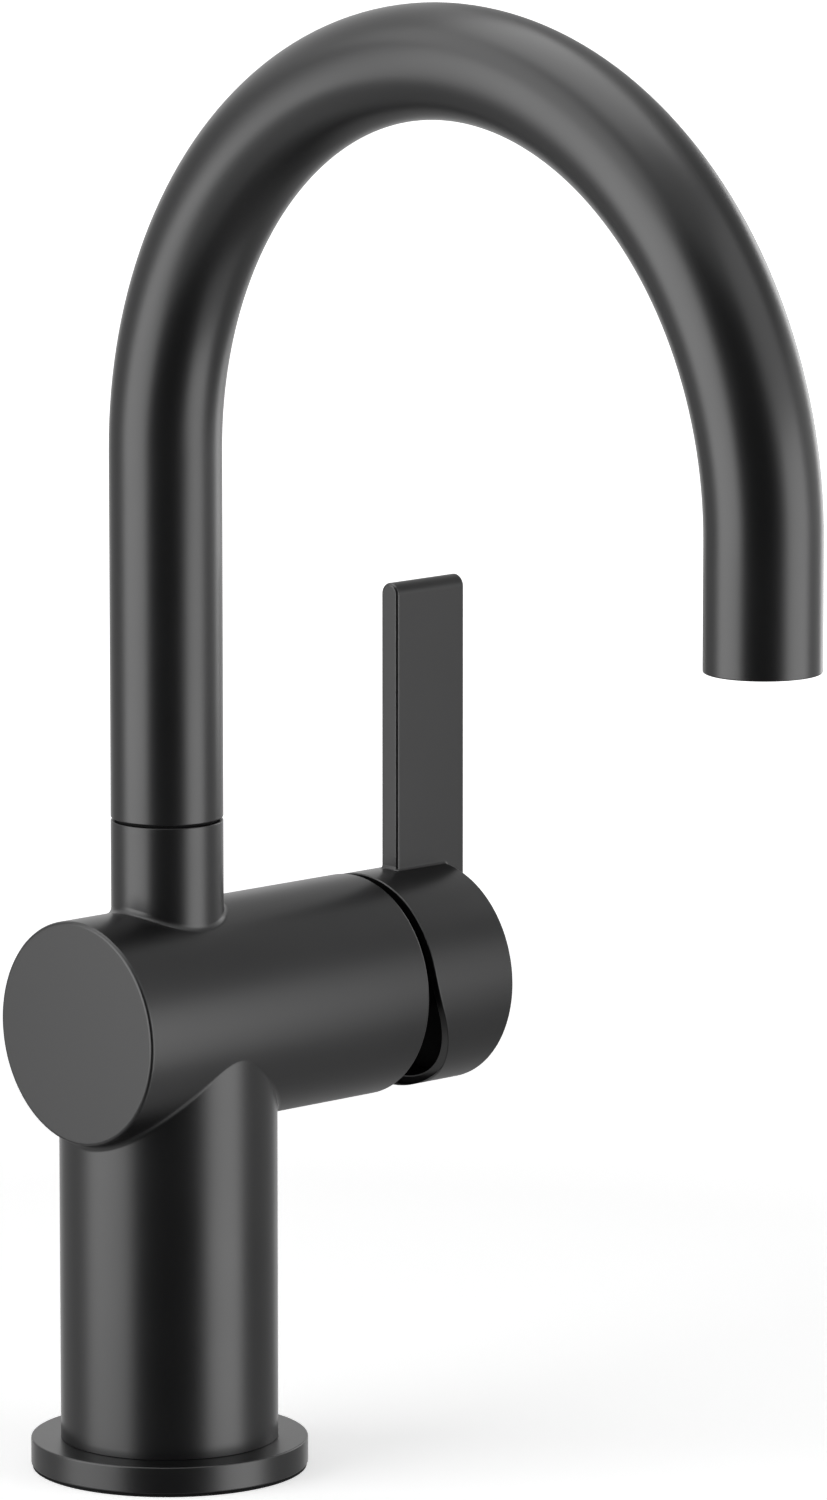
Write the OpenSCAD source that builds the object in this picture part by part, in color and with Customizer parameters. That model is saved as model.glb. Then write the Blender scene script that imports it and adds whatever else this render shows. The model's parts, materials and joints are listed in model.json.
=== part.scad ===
// Bar faucet: a column with a horizontal valve barrel, a swivel spout and a lever on a tilting hub.
// Origin: on the column's axis, on the deck. +X runs along the barrel to the lever, -Y to the sink.

/* [Base] */
// Diameter of the base ring
base_d = 63; // [58:0.5:70]
// Height of the base ring's top above the deck
base_top = 6.9; // [6:0.1:10]
// Radius of the base ring's edges
base_edge = 0.4; // [0.2:0.05:0.8]
// Thickness of the gasket that shows under the ring
gasket_t = 0.7; // [0.4:0.1:1.2]
// Set-back of the gasket from the ring's edge
gasket_back = 0.3; // [0.1:0.1:1]
// Set-back of the gasket from the spigot
gasket_in = 1; // [0.5:0.1:1.5]
// Width of the rib that keeps the gasket in its groove
rib_w = 3; // [2:0.25:3.5]
// Height of that rib
rib_h = 1.4; // [1:0.1:2]

/* [Body] */
// Diameter of the column
column_d = 49.4; // [48:0.2:52]
// Wall of the column
column_wall = 6; // [5:0.25:6.5]
// Step from the column in to the spigot that enters the base ring
spigot_step = 2.6; // [2:0.1:3.5]
// Diameter of the valve barrel
barrel_d = 51; // [50.4:0.2:54]
// Height of the barrel's axis above the deck
barrel_z = 103.6; // [95:0.5:112]
// Length of the barrel from the column's axis to its closed end
barrel_back = 27.7; // [27:0.1:34]
// Length of the barrel from the column's axis to its open end
barrel_front = 57.4; // [56:0.2:64]
// Radius of the barrel's edges
barrel_edge = 0.5; // [0.3:0.1:1.2]
// Height of the joint between neck and spout
joint_z = 149.5; // [146:0.5:160]
// Metal between the column's cavity and the cartridge's bore
web_t = 10; // [8:0.5:14]
// Diameter of the mixed water's way up to the neck
riser_d = 10; // [8:0.5:11]
// Depth of the nut inside the barrel's open end
nut_set = 0.4; // [0.2:0.1:0.8]
// Radial play of the cartridge in the barrel
bore_play = 0.2; // [0.1:0.05:0.3]

/* [Deck fixing and supply] */
// Wall diameter of the thread for the mounting shank
shank_thread_d = 33; // [31:0.5:34]
// Length of that thread
shank_thread_len = 12; // [10:0.5:16]
// Distance of the inlet tubes from the column's axis, along the barrel
inlet_x = 6; // [5.6:0.1:6.5]
// Distance of each inlet tube from the middle, across the barrel
inlet_y = 7.2; // [7:0.1:7.6]
// Outer diameter of the inlet tubes
tube_d = 8; // [7.4:0.1:8.6]
// Bore of the inlet tubes and their passages
tube_bore = 5.6; // [4.6:0.1:5.8]
// Depth of each inlet tube in the body
tube_seat = 7; // [5:0.5:8]
// Outer diameter of the socket at the foot of each inlet tube
hose_socket_d = 12.4; // [11.6:0.1:12.8]
// Wall diameter of the hose thread in that socket
hose_thread_d = 9; // [8.6:0.1:9.4]
// Depth of the hose thread
hose_thread_len = 11; // [9:0.5:14]
// Thickness of the socket's floor
socket_floor = 2; // [1.5:0.1:3]
// Gap between the shank's thread and the sockets
socket_gap = 4; // [2:0.5:8]
// Radius of the sockets' edges
hose_socket_edge = 0.5; // [0.2:0.1:1]

/* [Spout] */
// Outer diameter of the spout tube and of the neck
spout_d = 25.4; // [25:0.1:27]
// Wall of the spout tube
spout_wall = 1.2; // [1:0.05:1.3]
// Height of the straight riser from the joint to the bend
spout_rise = 83.6; // [60:1:120]
// Radius of the bend, to the middle of the tube
bend_r = 93.9; // [80:0.5:110]
// Length of the straight drop after the bend
spout_drop = 27.8; // [24:0.2:50]
// Width of the joint line
joint_gap = 0.6; // [0.4:0.1:1]
// Set-back of the washer inside the joint line
washer_back = 0.8; // [0.3:0.1:1]
// Radius of the edges at the joint and at the outlet
spout_edge = 0.3; // [0.2:0.05:0.5]
// Diameter of the shank that turns in the neck
shank_d = 20.84; // [20.6:0.02:21]
// Length of the shank in the neck
shank_len = 27; // [24:0.5:28]
// Room under the shank in the neck's bore
shank_room = 1.5; // [1:0.25:3]
// Length of the shank's plug in the tube
plug_len = 18; // [12:1:30]
// Bore of the shank
shank_bore = 15; // [12:0.5:15.5]
// Diameter at the floor of the shank's grooves
groove_d = 18.4; // [18:0.1:18.8]
// Width of the seals' grooves
seal_groove_w = 2.2; // [1.8:0.1:2.6]
// Depth of the first seal groove below the neck's top
seal_depth = 6; // [4:0.5:7]
// Spacing of the two seals
seal_pitch = 4.5; // [4:0.25:5]
// Depth of the clip below the neck's top
clip_depth = 15; // [14:0.5:16]
// Thickness of the clip
clip_t = 1.2; // [1:0.1:1.4]
// Depth of the clip's groove in the neck's wall
clip_bite = 0.7; // [0.4:0.1:0.9]
// Gap of the clip, as an angle
clip_gap_a = 60; // [40:5:90]
// Height of the lower glide ring
glide_h = 4; // [3:0.5:5]
// Thickness of the flange left under the glide ring
glide_foot = 2; // [1.5:0.25:3]

/* [Outlet] */
// Set-back of the aerator inside the spout's end
outlet_recess = 0.8; // [0.4:0.1:1.6]
// Set-back of the insert behind the aerator's rim
insert_set = 0.2; // [0.1:0.1:0.6]
// Diameter of the aerator
aerator_d = 20; // [19:0.1:20.4]
// Height of the aerator's housing
aerator_h = 8.6; // [8:0.2:12]
// Wall of the aerator's housing
aerator_wall = 1.6; // [1.2:0.1:2]
// Thickness of the aerator's washer
aerator_washer_t = 1.4; // [1:0.1:2]
// Height of the lip that the washer seals against
insert_lip_h = 4; // [2:0.5:6]
// Width of the lip
insert_lip_w = 1.5; // [1:0.1:2]
// Thickness of the flow disc
flow_disc_t = 1.6; // [1:0.1:2]
// Number of holes in the flow disc
flow_holes = 8; // [5:1:10]
// Diameter of those holes
flow_hole_d = 1.8; // [1.2:0.1:2.4]
// Radius of the circle of holes
flow_ring_r = 5; // [4.5:0.1:6]
// Wall of the mixer under the flow disc
mixer_wall = 1; // [0.8:0.1:1.4]
// Pitch of the aerator's outlet grid
grid_pitch = 2.4; // [2:0.1:3]
// Thickness of the grid's bars
grid_bar = 0.8; // [0.6:0.1:1]
// Height of the grid
grid_t = 1; // [0.8:0.1:1.4]

/* [Handle] */
// Gap between the barrel's end and the hub
hub_gap = 2.5; // [2.4:0.1:4]
// Diameter of the hub
hub_d = 50.6; // [50:0.2:52]
// Length of the hub
hub_len = 24.1; // [22:0.2:28]
// Wall of the hub
hub_wall = 2.1; // [1.6:0.1:2.4]
// Thickness of the hub's end wall
hub_end_t = 2.5; // [2:0.1:4]
// Slant of the hub's lower rim, which clears the barrel when the handle tilts
rim_angle = 24.8; // [24.4:0.1:26]
// Height above the barrel's axis where the slant starts
rim_start = 1.6; // [0:0.1:4]
// Radius that blends the slant into the rim
rim_blend = 26; // [10:1:30]
// Width of the lever, along the barrel
lever_w = 21.3; // [18:0.1:24]
// Thickness of the lever
lever_t = 5.4; // [4.8:0.1:7]
// Height of the lever's top above the barrel's axis
lever_top = 91.9; // [70:0.5:100]
// Distance from the hub's rim to the lever's near edge
lever_set = 8.7; // [8:0.1:11]
// Reach of the lever below the barrel's axis, on the hub's end
lever_tail = 12; // [6:0.5:18]
// Radius of the lever's edges
lever_edge = 0.7; // [0.3:0.05:1]
// Diameter of the boss that holds the stem
boss_d = 16; // [13:0.5:17]
// Length of the stem that the boss takes in
boss_grip = 11; // [9.5:0.25:11.5]
// Thickness of the floor of the stem's socket
socket_end_t = 2; // [1.5:0.25:3]
// Diameter of the handle's set screw
screw_d = 4.8; // [4:0.1:5]
// Length of the set screw
screw_len = 4.5; // [3.5:0.1:5]
// Size of the hexagon socket, across its corners
screw_hex = 2.9; // [2:0.1:3]
// Depth of the hexagon socket
screw_hex_depth = 2.5; // [1.5:0.1:3]
// Thickness of the plug that hides the screw
plug_t = 1.9; // [1.2:0.1:2]
// Largest tilt of the handle, in degrees
tilt_max = 24; // [15:1:24]
// Largest turn of the handle to each side, in degrees
turn_max = 45; // [30:5:60]

/* [Cartridge] */
// Diameter of the cartridge
cart_d = 35; // [34:0.1:35.4]
// Wall of the cartridge's housing
cart_wall = 3; // [2.8:0.05:3.2]
// Thickness of the cartridge's base
cart_base_t = 4; // [3.8:0.1:5]
// Thickness of each ceramic disc
disc_t = 3; // [2.6:0.1:3.6]
// Diameter of the moving disc
moving_disc_d = 23.4; // [23:0.1:23.5]
// Thickness of the disc carrier's plate
carrier_t = 5; // [4:0.25:6]
// Side of the carrier's square block
carrier_side = 10; // [8:0.25:10]
// Height of the carrier's block
carrier_h = 7; // [6:0.25:7.5]
// Length of the rotor's wide part
rotor_len = 14.5; // [13.5:0.25:16]
// Diameter of the rotor's neck
rotor_neck_d = 21.8; // [21:0.1:22]
// Length of the housing's neck
cart_neck_len = 6.1; // [5.5:0.1:7]
// Wall of the housing's neck
cart_neck_wall = 3; // [2.6:0.1:3.2]
// Thickness of the shoulder inside the housing
shoulder_t = 2.4; // [2:0.1:3]
// Radius of the two inlet ports
port_r = 2.4; // [2:0.1:2.6]
// Distance of each inlet port from the middle, across the barrel
port_y = 6.4; // [6.2:0.1:6.6]
// Height of the inlet ports above the barrel's axis
port_z = 3.4; // [3:0.1:3.8]
// Radius of the mixed water's port
mix_r = 2.6; // [2:0.1:2.8]
// Depth of the mixed water's port below the barrel's axis
mix_z = 6; // [5.5:0.1:6.4]
// Radius of the mixing pocket in the moving disc
pocket_r = 5.6; // [5:0.1:5.8]
// Depth of the mixing pocket
pocket_depth = 1.4; // [1:0.1:1.8]
// Distance of the mixing pocket below the moving disc's middle
pocket_off = 1.6; // [1:0.1:2]
// Metal between each port and its seal's groove
seal_wall = 0.5; // [0.4:0.05:0.6]
// Thickness of the seals under and over the cartridge's base
seal_t = 1.6; // [1.4:0.1:1.7]
// Radius of the pegs that locate the cartridge
peg_r = 1.5; // [1.2:0.1:1.6]
// Length of the pegs
peg_len = 2.5; // [2:0.1:3.5]
// Distance of the pegs from the middle, across the barrel
peg_y = 13.5; // [13:0.1:14]
// Depth of the pegs below the barrel's axis
peg_down = 6; // [5.5:0.1:6.5]
// Diameter of the posts that hold the fixed disc
post_d = 2.4; // [1.8:0.1:2.6]
// Length of the posts
post_len = 2; // [1.5:0.1:2.4]
// Distance of the posts from the middle, across the barrel
post_y = 11.5; // [11.4:0.1:11.8]
// Diameter of the key holes in the moving disc
key_d = 2.6; // [2:0.1:3]
// Depth of the key holes
key_depth = 1.2; // [0.8:0.1:1.5]
// Distance of the key holes from the middle, across the barrel
key_y = 8; // [7.5:0.1:9]
// Side of the square stem
stem_side = 6.4; // [5.6:0.1:6.6]
// Distance from the stem's pivot to the ball that drives the carrier
stem_arm = 12; // [11:0.1:12.2]
// Radius of that ball
ball_r = 2.8; // [2.4:0.1:3]
// Radius of the stem between ball and square
stem_neck_r = 2; // [1.6:0.1:2.2]
// Length of that round neck, from the ball's centre
stem_neck_len = 6.5; // [5.5:0.1:7]
// Diameter of the pivot pin
pin_d = 3.2; // [2.6:0.1:3.4]
// Distance of the pivot inside the barrel's open end
pivot_in = 7.4; // [7:0.1:7.6]
// Diameter of the retaining nut's thread
nut_d = 40; // [39.4:0.1:41]
// Length of the nut's thread
nut_len = 6.6; // [6:0.1:7]
// Size of the nut's hexagon, across its corners
nut_hex = 36.8; // [34:0.1:37]
// Height of the nut's hexagon
nut_hex_h = 5.3; // [4:0.1:5.6]
// Thickness of the limit stop's ring
stop_t = 2.5; // [2:0.1:2.8]
// Half of the angle that the stop's lug takes
lug_a = 8; // [6:1:12]
// Height of the stop's lug
lug_h = 2.6; // [2:0.1:3]
// Turn left between the lug and its stop at the end of the travel, in degrees
stop_play = 1.5; // [1:0.25:3]

/* [Fits] */
// Radial clearance of a shaft that turns in its bore
run_fit = 0.08; // [0.02:0.01:0.1]
// Radial gap between pieces that are fixed together
seat_fit = 0.05; // [0.02:0.01:0.1]
// Gap between pieces that move past each other
clear = 0.3; // [0.25:0.05:0.4]
// Water film between the ceramic discs
film = 0.02; // [0.01:0.01:0.05]
// Play between loose pieces that are stacked
stack_play = 0.1; // [0.05:0.01:0.15]

/* [Hidden] */
$fn = 96;
// Bite that joins two pieces of one solid
eps = 0.01;
// Length by which a cut runs past what it cuts
over = 1;

// Colours of the drawing
PAINT = "#2c2d2f";
BRASS = "#b8964e";
STEEL = "#b5b7ba";
RUBBER = "#1c1c1d";
CERAMIC = "#e4e0d6";
WHITE = "#d9dadb";
GREY = "#7c8087";

// Base and body
base_r = base_d / 2;
column_r = column_d / 2;
spigot_r = column_r - spigot_step;
barrel_r = barrel_d / 2;
cavity_r = column_r - column_wall;
spigot_z = gasket_t + rib_h;
rib_r = (spigot_r + base_r) / 2;
thread_r = shank_thread_d / 2;
thread_top = spigot_z + shank_thread_len;
cart_r = cart_d / 2;
cart_bore_r = cart_r + bore_play;
cavity_top = barrel_z - cart_bore_r - web_t;
socket_z = thread_top + socket_gap;
socket_top = socket_z + hose_thread_len + socket_floor;
tube_top = cavity_top + tube_seat;

// Stations along the barrel, from its open end inwards
nut_x = barrel_front - nut_len - nut_set;
shoulder_x = nut_x - shoulder_t;
rotor_x = shoulder_x - clear - rotor_len;
carrier_x = rotor_x - clear - carrier_t;
moving_x = carrier_x - disc_t;
base_face = moving_x - film - disc_t;
seat_x = base_face - cart_base_t;
block_end = carrier_x + carrier_t + carrier_h;

// Stations outwards
cart_end = nut_x + cart_neck_len;
stop_x = cart_end + clear;
rotor_end = stop_x + stop_t;
pivot_x = barrel_front - pivot_in;
ball_x = pivot_x - stem_arm;

// Radii in the cartridge
nut_r = nut_d / 2;
cart_cavity_r = cart_r - cart_wall;
rotor_r = cart_cavity_r - run_fit;
rotor_neck_r = rotor_neck_d / 2;
lip_r = rotor_neck_r + clear;
cart_neck_r = lip_r + cart_neck_wall;
nut_bore_r = cart_neck_r + clear;
moving_r = moving_disc_d / 2;
post_r = post_d / 2;
key_r = key_d / 2;
pin_r = pin_d / 2;

// Height above the barrel's axis, distance across it and radius of each port
ports = [[port_z, -port_y, port_r], [port_z, port_y, port_r], [-mix_z, 0, mix_r]];

// The ball's travel slides the disc, which rests half of it below the barrel's axis
slide = stem_arm * sin(tilt_max);
disc_z = -slide / 2;
carrier_half = carrier_side / 2;
stem_half = stem_side / 2;
slot_half = (rotor_end - pivot_x) * tan(tilt_max) + stem_half / cos(tilt_max) + clear;

// Handle
hub_x = barrel_front + hub_gap;
hub_end = hub_x + hub_len;
hub_r = hub_d / 2;
hub_in_r = hub_r - hub_wall;
hub_floor = hub_end - hub_end_t;
lever_x = hub_x + lever_set;
lever_r = lever_t / 2;
boss_r = boss_d / 2;
stem_end = hub_floor - socket_end_t;
boss_x = stem_end - boss_grip;
screw_x = stem_end - screw_d / 2;
screw_r = screw_d / 2;
plug_r = screw_r + clear;
rim_tangent = rim_blend * tan(rim_angle / 2);

// Spout and neck
neck_r = spout_d / 2;
neck_top = joint_z - joint_gap / 2;
tube_z = joint_z + joint_gap / 2;
tube_in_r = neck_r - spout_wall;
bend_z = joint_z + spout_rise;
outlet_z = bend_z - spout_drop;
outlet_y = -2 * bend_r;
shank_r = shank_d / 2;
neck_bore_r = shank_r + run_fit;
shank_z = neck_top - shank_len;
neck_floor = shank_z - shank_room;
groove_r = groove_d / 2;
seal_r = (neck_bore_r - groove_r) / 2 - film;
glide_z = shank_z + glide_foot;
clip_z = neck_top - clip_depth;
clip_in_r = groove_r + clear;
clip_groove_r = neck_bore_r + clip_bite;
tube_plug_r = tube_in_r - seat_fit;

// Outlet
aerator_r = aerator_d / 2;
aerator_in_r = aerator_r - aerator_wall;
insert_bore_r = aerator_r + seat_fit;
aerator_z = outlet_z + outlet_recess;
insert_z = aerator_z + insert_set;
washer_z = aerator_z + aerator_h;
lip_z = washer_z + aerator_washer_t;
insert_top = lip_z + insert_lip_h;
flow_z = washer_z - flow_disc_t - stack_play;
mixer_r = aerator_in_r - stack_play;
mixer_z = aerator_z + grid_t + stack_play;
mixer_top = flow_z - stack_play;

// Helpers

// Turns a shape that stands on +Z to run along +X, from a point given from the barrel's axis
module along(x, y = 0, z = 0) translate([x, y, barrel_z + z]) rotate([0, 90, 0]) children();

// Places a shape on the outlet's axis
module at_outlet(z) translate([0, outlet_y, z]) children();

// Places a shape at the same point on both sides of the barrel
module both_sides(x, y, z = 0) for (side = [-1, 1]) along(x, side * y, z) children();

// Rod with rounded edges at both ends, whole or a part of a turn
module rounded_rod(r, h, edge, angle = 360) rotate_extrude(angle = angle) {
    square([r - edge, h]);
    translate([0, edge]) square([r, h - 2 * edge]);
    for (z = [edge, h - edge]) translate([r - edge, z]) circle(edge);
}

// Pipe that stands on +Z, with its lower outer edge rounded
module edged_pipe(r_in, r_out, h, edge) rotate_extrude() {
    translate([r_in, 0]) square([r_out - edge - r_in, h]);
    translate([r_in, edge]) square([r_out - r_in, h - edge]);
    translate([r_out - edge, edge]) circle(edge);
}

// Ring of rectangular section
module ring(r_in, r_out, h) rotate_extrude() translate([r_in, 0]) square([r_out - r_in, h]);

// Part of such a ring, reaching half an angle to each side of the local -X
module sector(r_in, r_out, h, half) rotate([0, 0, 180 - half])
    rotate_extrude(angle = 2 * half) translate([r_in, 0]) square([r_out - r_in, h]);

// Ring of round section, lying on z = 0
module o_ring(r_mid, section_r) translate([0, 0, section_r])
    rotate_extrude() translate([r_mid, 0]) circle(section_r);

// Crossed bars inside a circle
module grid(r, t) intersection() {
    cylinder(r = r, h = t);
    for (turn = [0, 90]) rotate([0, 0, turn])
        for (y = [-floor(r / grid_pitch) : floor(r / grid_pitch)])
            translate([-r, y * grid_pitch - grid_bar / 2, 0]) cube([2 * r, grid_bar, t]);
}

// Fixed body

module body_outside() {
    translate([0, 0, base_top]) cylinder(r = column_r, h = barrel_z - base_top);
    translate([0, 0, spigot_z]) cylinder(r = spigot_r, h = base_top - spigot_z + over);
    along(-barrel_back) rounded_rod(barrel_r, barrel_back + barrel_front, barrel_edge);
    translate([0, 0, barrel_z]) rounded_rod(neck_r, neck_top - barrel_z, spout_edge);
}

module body_passages() {
    // Shank thread and the cavity above it
    translate([0, 0, spigot_z - over]) cylinder(r = thread_r, h = shank_thread_len + 2 * over);
    translate([0, 0, thread_top]) cylinder(r = cavity_r, h = cavity_top - thread_top);
    // Inlet passages, with a seat for each tube
    for (side = [-1, 1]) {
        translate([inlet_x, side * inlet_y, cavity_top - over]) {
            cylinder(d = tube_d + 2 * seat_fit, h = tube_seat + over);
            cylinder(d = tube_bore, h = barrel_z + port_z - cavity_top + over);
        }
        along(inlet_x, side * port_y, port_z) cylinder(r = port_r, h = seat_x - inlet_x + over);
    }
    // Mixed water's passage, up to the neck
    along(0, 0, -mix_z) cylinder(r = mix_r, h = seat_x + over);
    translate([0, 0, barrel_z - mix_z]) cylinder(d = riser_d, h = neck_floor - barrel_z + mix_z + over);
    // Bore for the spout's shank and the groove for its clip
    translate([0, 0, neck_floor]) cylinder(r = neck_bore_r, h = neck_top - neck_floor + over);
    translate([0, 0, clip_z]) cylinder(r = clip_groove_r, h = clip_t + seat_fit);
    // Bores for the cartridge and its nut
    along(seat_x) cylinder(r = cart_bore_r, h = barrel_front - seat_x + over);
    along(nut_x - nut_set) cylinder(r = nut_r + seat_fit, h = barrel_front - nut_x + nut_set + over);
    both_sides(seat_x - peg_len - clear, peg_y, -peg_down)
        cylinder(r = peg_r + seat_fit, h = peg_len + clear + over);
}

module body_casting() color(PAINT) difference() {
    body_outside();
    body_passages();
}

module base_ring() color(PAINT) difference() {
    translate([0, 0, gasket_t]) rounded_rod(base_r, base_top - gasket_t, base_edge);
    cylinder(r = spigot_r + seat_fit, h = base_top + over);
    ring(rib_r - rib_w / 2 - seat_fit, rib_r + rib_w / 2 + seat_fit, spigot_z + seat_fit);
}

module base_gasket() color(RUBBER) {
    ring(spigot_r + gasket_in, base_r - gasket_back, gasket_t);
    ring(rib_r - rib_w / 2, rib_r + rib_w / 2, spigot_z);
}

module inlet_tube(side) color(BRASS) translate([inlet_x, side * inlet_y, socket_z]) difference() {
    union() {
        rounded_rod(hose_socket_d / 2, socket_top - socket_z, hose_socket_edge);
        translate([0, 0, hose_thread_len]) cylinder(d = tube_d, h = tube_top - socket_z - hose_thread_len);
    }
    translate([0, 0, -over]) cylinder(d = hose_thread_d, h = hose_thread_len + over);
    cylinder(d = tube_bore, h = tube_top - socket_z + over);
}

module hot_inlet_tube() inlet_tube(-1);

module cold_inlet_tube() inlet_tube(1);

// Cartridge, fixed pieces

module at_ports(x) along(x) for (port = ports) translate([-port[0], port[1], 0]) {
    $port_r = port[2];
    children();
}

module port_holes(x, h) at_ports(x) cylinder(r = $port_r, h = h);

module seal_set(x) at_ports(x) o_ring($port_r + seal_wall + seal_t / 2, seal_t / 2 - film);

module seal_grooves(x) at_ports(x)
    ring($port_r + seal_wall, $port_r + seal_wall + seal_t + film, seal_t + eps);

module port_seals() color(RUBBER) seal_set(seat_x);

module cartridge_base() color(WHITE) {
    difference() {
        along(seat_x) cylinder(r = cart_r, h = cart_base_t);
        port_holes(seat_x - over, cart_base_t + 2 * over);
        seal_grooves(seat_x - eps);
        seal_grooves(base_face - seal_t);
    }
    both_sides(seat_x - peg_len, peg_y, -peg_down) cylinder(r = peg_r, h = peg_len + over);
    both_sides(base_face - over, post_y) cylinder(r = post_r, h = post_len + over);
}

module disc_seals() color(RUBBER) seal_set(base_face - seal_t);

module fixed_disc() color(CERAMIC) difference() {
    along(base_face) cylinder(r = cart_cavity_r - clear, h = disc_t);
    port_holes(base_face - over, disc_t + 2 * over);
    both_sides(base_face - over, post_y) cylinder(r = post_r + seat_fit, h = post_len + stack_play + over);
}

module cartridge_housing() color(WHITE) difference() {
    union() {
        along(base_face) cylinder(r = cart_r, h = nut_x - base_face);
        along(base_face) cylinder(r = cart_neck_r, h = cart_end - base_face);
    }
    along(base_face - over) cylinder(r = cart_cavity_r, h = shoulder_x - base_face + over);
    along(base_face) cylinder(r = lip_r, h = cart_end - base_face + over);
    // Arc for the limit stop's lug
    along(cart_end - lug_h)
        sector(lip_r - over, cart_neck_r + over, lug_h + over, turn_max + lug_a + stop_play);
}

module retaining_nut() color(PAINT) difference() {
    union() {
        along(nut_x) cylinder(r = nut_r, h = nut_len);
        along(nut_x) cylinder(d = nut_hex, h = nut_len + nut_hex_h, $fn = 6);
    }
    along(nut_x - over) cylinder(r = nut_bore_r, h = nut_len + nut_hex_h + 2 * over);
}

// Cartridge, moving pieces

module moving_disc() color(CERAMIC) difference() {
    along(moving_x, 0, disc_z) cylinder(r = moving_r, h = disc_t);
    along(moving_x - over, 0, disc_z - pocket_off) cylinder(r = pocket_r, h = pocket_depth + over);
    both_sides(carrier_x - key_depth, key_y, disc_z) cylinder(r = key_r, h = key_depth + over);
}

module disc_carrier() color(GREY) difference() {
    union() {
        along(carrier_x, 0, disc_z) cylinder(r = moving_r, h = carrier_t);
        both_sides(carrier_x - key_depth + stack_play, key_y, disc_z)
            cylinder(r = key_r - seat_fit, h = key_depth);
        translate([carrier_x, -carrier_half, barrel_z - carrier_half])
            cube([block_end - carrier_x, carrier_side, carrier_side]);
    }
    // Socket for the stem's ball
    along(ball_x - ball_r - clear)
        cylinder(r = ball_r + clear, h = block_end - ball_x + ball_r + clear + over);
}

module pin_shape(r, half) translate([pivot_x, 0, barrel_z]) rotate([90, 0, 0])
    cylinder(r = r, h = 2 * half, center = true);

module rotor() color(GREY) difference() {
    union() {
        along(rotor_x) cylinder(r = rotor_r, h = rotor_len);
        along(rotor_x) cylinder(r = rotor_neck_r, h = rotor_end - rotor_x);
    }
    // Room for the carrier's block over its slide
    translate([rotor_x - over, -carrier_half - clear, barrel_z - carrier_half - clear]) cube([
        block_end + clear - rotor_x + over,
        carrier_side + 2 * clear,
        carrier_side + slide + 2 * clear
    ]);
    // Slot for the stem over its tilt
    translate([block_end, -stem_half - clear, barrel_z - slot_half])
        cube([rotor_end - block_end + over, stem_side + 2 * clear, 2 * slot_half]);
    pin_shape(pin_r + seat_fit, rotor_neck_r + over);
}

module stem_pin() color(STEEL) pin_shape(pin_r, rotor_neck_r - clear);

module limit_stop() color(STEEL) {
    along(stop_x) ring(rotor_neck_r + seat_fit, cart_neck_r, stop_t);
    along(stop_x - lug_h) sector(lip_r + clear, cart_neck_r - clear, lug_h + over, lug_a);
}

module stem() color(BRASS) difference() {
    union() {
        along(ball_x) sphere(ball_r);
        along(ball_x) cylinder(r = stem_neck_r, h = stem_neck_len + over);
        translate([ball_x + stem_neck_len, -stem_half, barrel_z - stem_half])
            cube([stem_end - ball_x - stem_neck_len, stem_side, stem_side]);
    }
    pin_shape(pin_r + run_fit, stem_half + over);
}

// Handle

// Side view of the hub's space: an upright rim above, blended into a slanted one below
module rim_profile() {
    reach = hub_d + 2 * rim_blend;
    translate([rim_blend, rim_tangent]) circle(rim_blend);
    polygon([
        [0, rim_tangent],
        [0, reach],
        [reach, reach],
        [reach, -reach],
        [reach * tan(rim_angle), -reach],
        [rim_tangent * sin(rim_angle), -rim_tangent * cos(rim_angle)]
    ]);
}

module hub() intersection() {
    along(hub_x - over) rounded_rod(hub_r, hub_len + over, barrel_edge);
    translate([hub_x, 0, barrel_z + rim_start]) rotate([90, 0, 0])
        linear_extrude(hub_d + over, center = true) rim_profile();
}

// Flat lever: an upright bar with half a rod across each end, and rounded edges all round
module lever() {
    low = lever_r - lever_tail;
    high = lever_top - lever_r;
    translate([lever_x, -lever_r, barrel_z + low]) linear_extrude(high - low) {
        translate([lever_edge, 0]) square([lever_w - 2 * lever_edge, lever_t]);
        translate([0, lever_edge]) square([lever_w, lever_t - 2 * lever_edge]);
        for (x = [lever_edge, lever_w - lever_edge]) for (y = [lever_edge, lever_t - lever_edge])
            translate([x, y]) circle(lever_edge);
    }
    along(lever_x, 0, high) rotate([0, 0, 90]) rounded_rod(lever_r, lever_w, lever_edge, 180);
    along(lever_x, 0, low) rotate([0, 0, -90]) rounded_rod(lever_r, lever_w, lever_edge, 180);
}

module handle() color(PAINT) difference() {
    union() {
        difference() {
            union() {
                hub();
                lever();
            }
            along(hub_x - over) cylinder(r = hub_in_r, h = hub_floor - hub_x + over);
        }
        along(boss_x) cylinder(r = boss_r, h = hub_floor - boss_x + over);
    }
    // Square socket for the stem
    translate([boss_x - over, -stem_half - seat_fit, barrel_z - stem_half - seat_fit])
        cube([boss_grip + stack_play + over, stem_side + 2 * seat_fit, stem_side + 2 * seat_fit]);
    // Screw's hole in the boss, and the plug's in the wall below it
    translate([screw_x, 0, barrel_z - boss_r - over]) cylinder(r = screw_r + seat_fit, h = boss_r + over);
    translate([screw_x, 0, barrel_z - hub_r - over]) cylinder(r = plug_r, h = hub_wall + 2 * over);
}

module handle_screw() color(STEEL) translate([screw_x, 0, barrel_z - stem_half - screw_len]) difference() {
    cylinder(r = screw_r, h = screw_len);
    translate([0, 0, -over]) cylinder(d = screw_hex, h = screw_hex_depth + over, $fn = 6);
}

module screw_plug() color(PAINT) intersection() {
    along(screw_x - screw_d) cylinder(r = hub_r, h = 2 * screw_d);
    translate([screw_x, 0, barrel_z - hub_r - over]) cylinder(r = plug_r - seat_fit, h = plug_t + over);
}

// Spout

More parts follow.
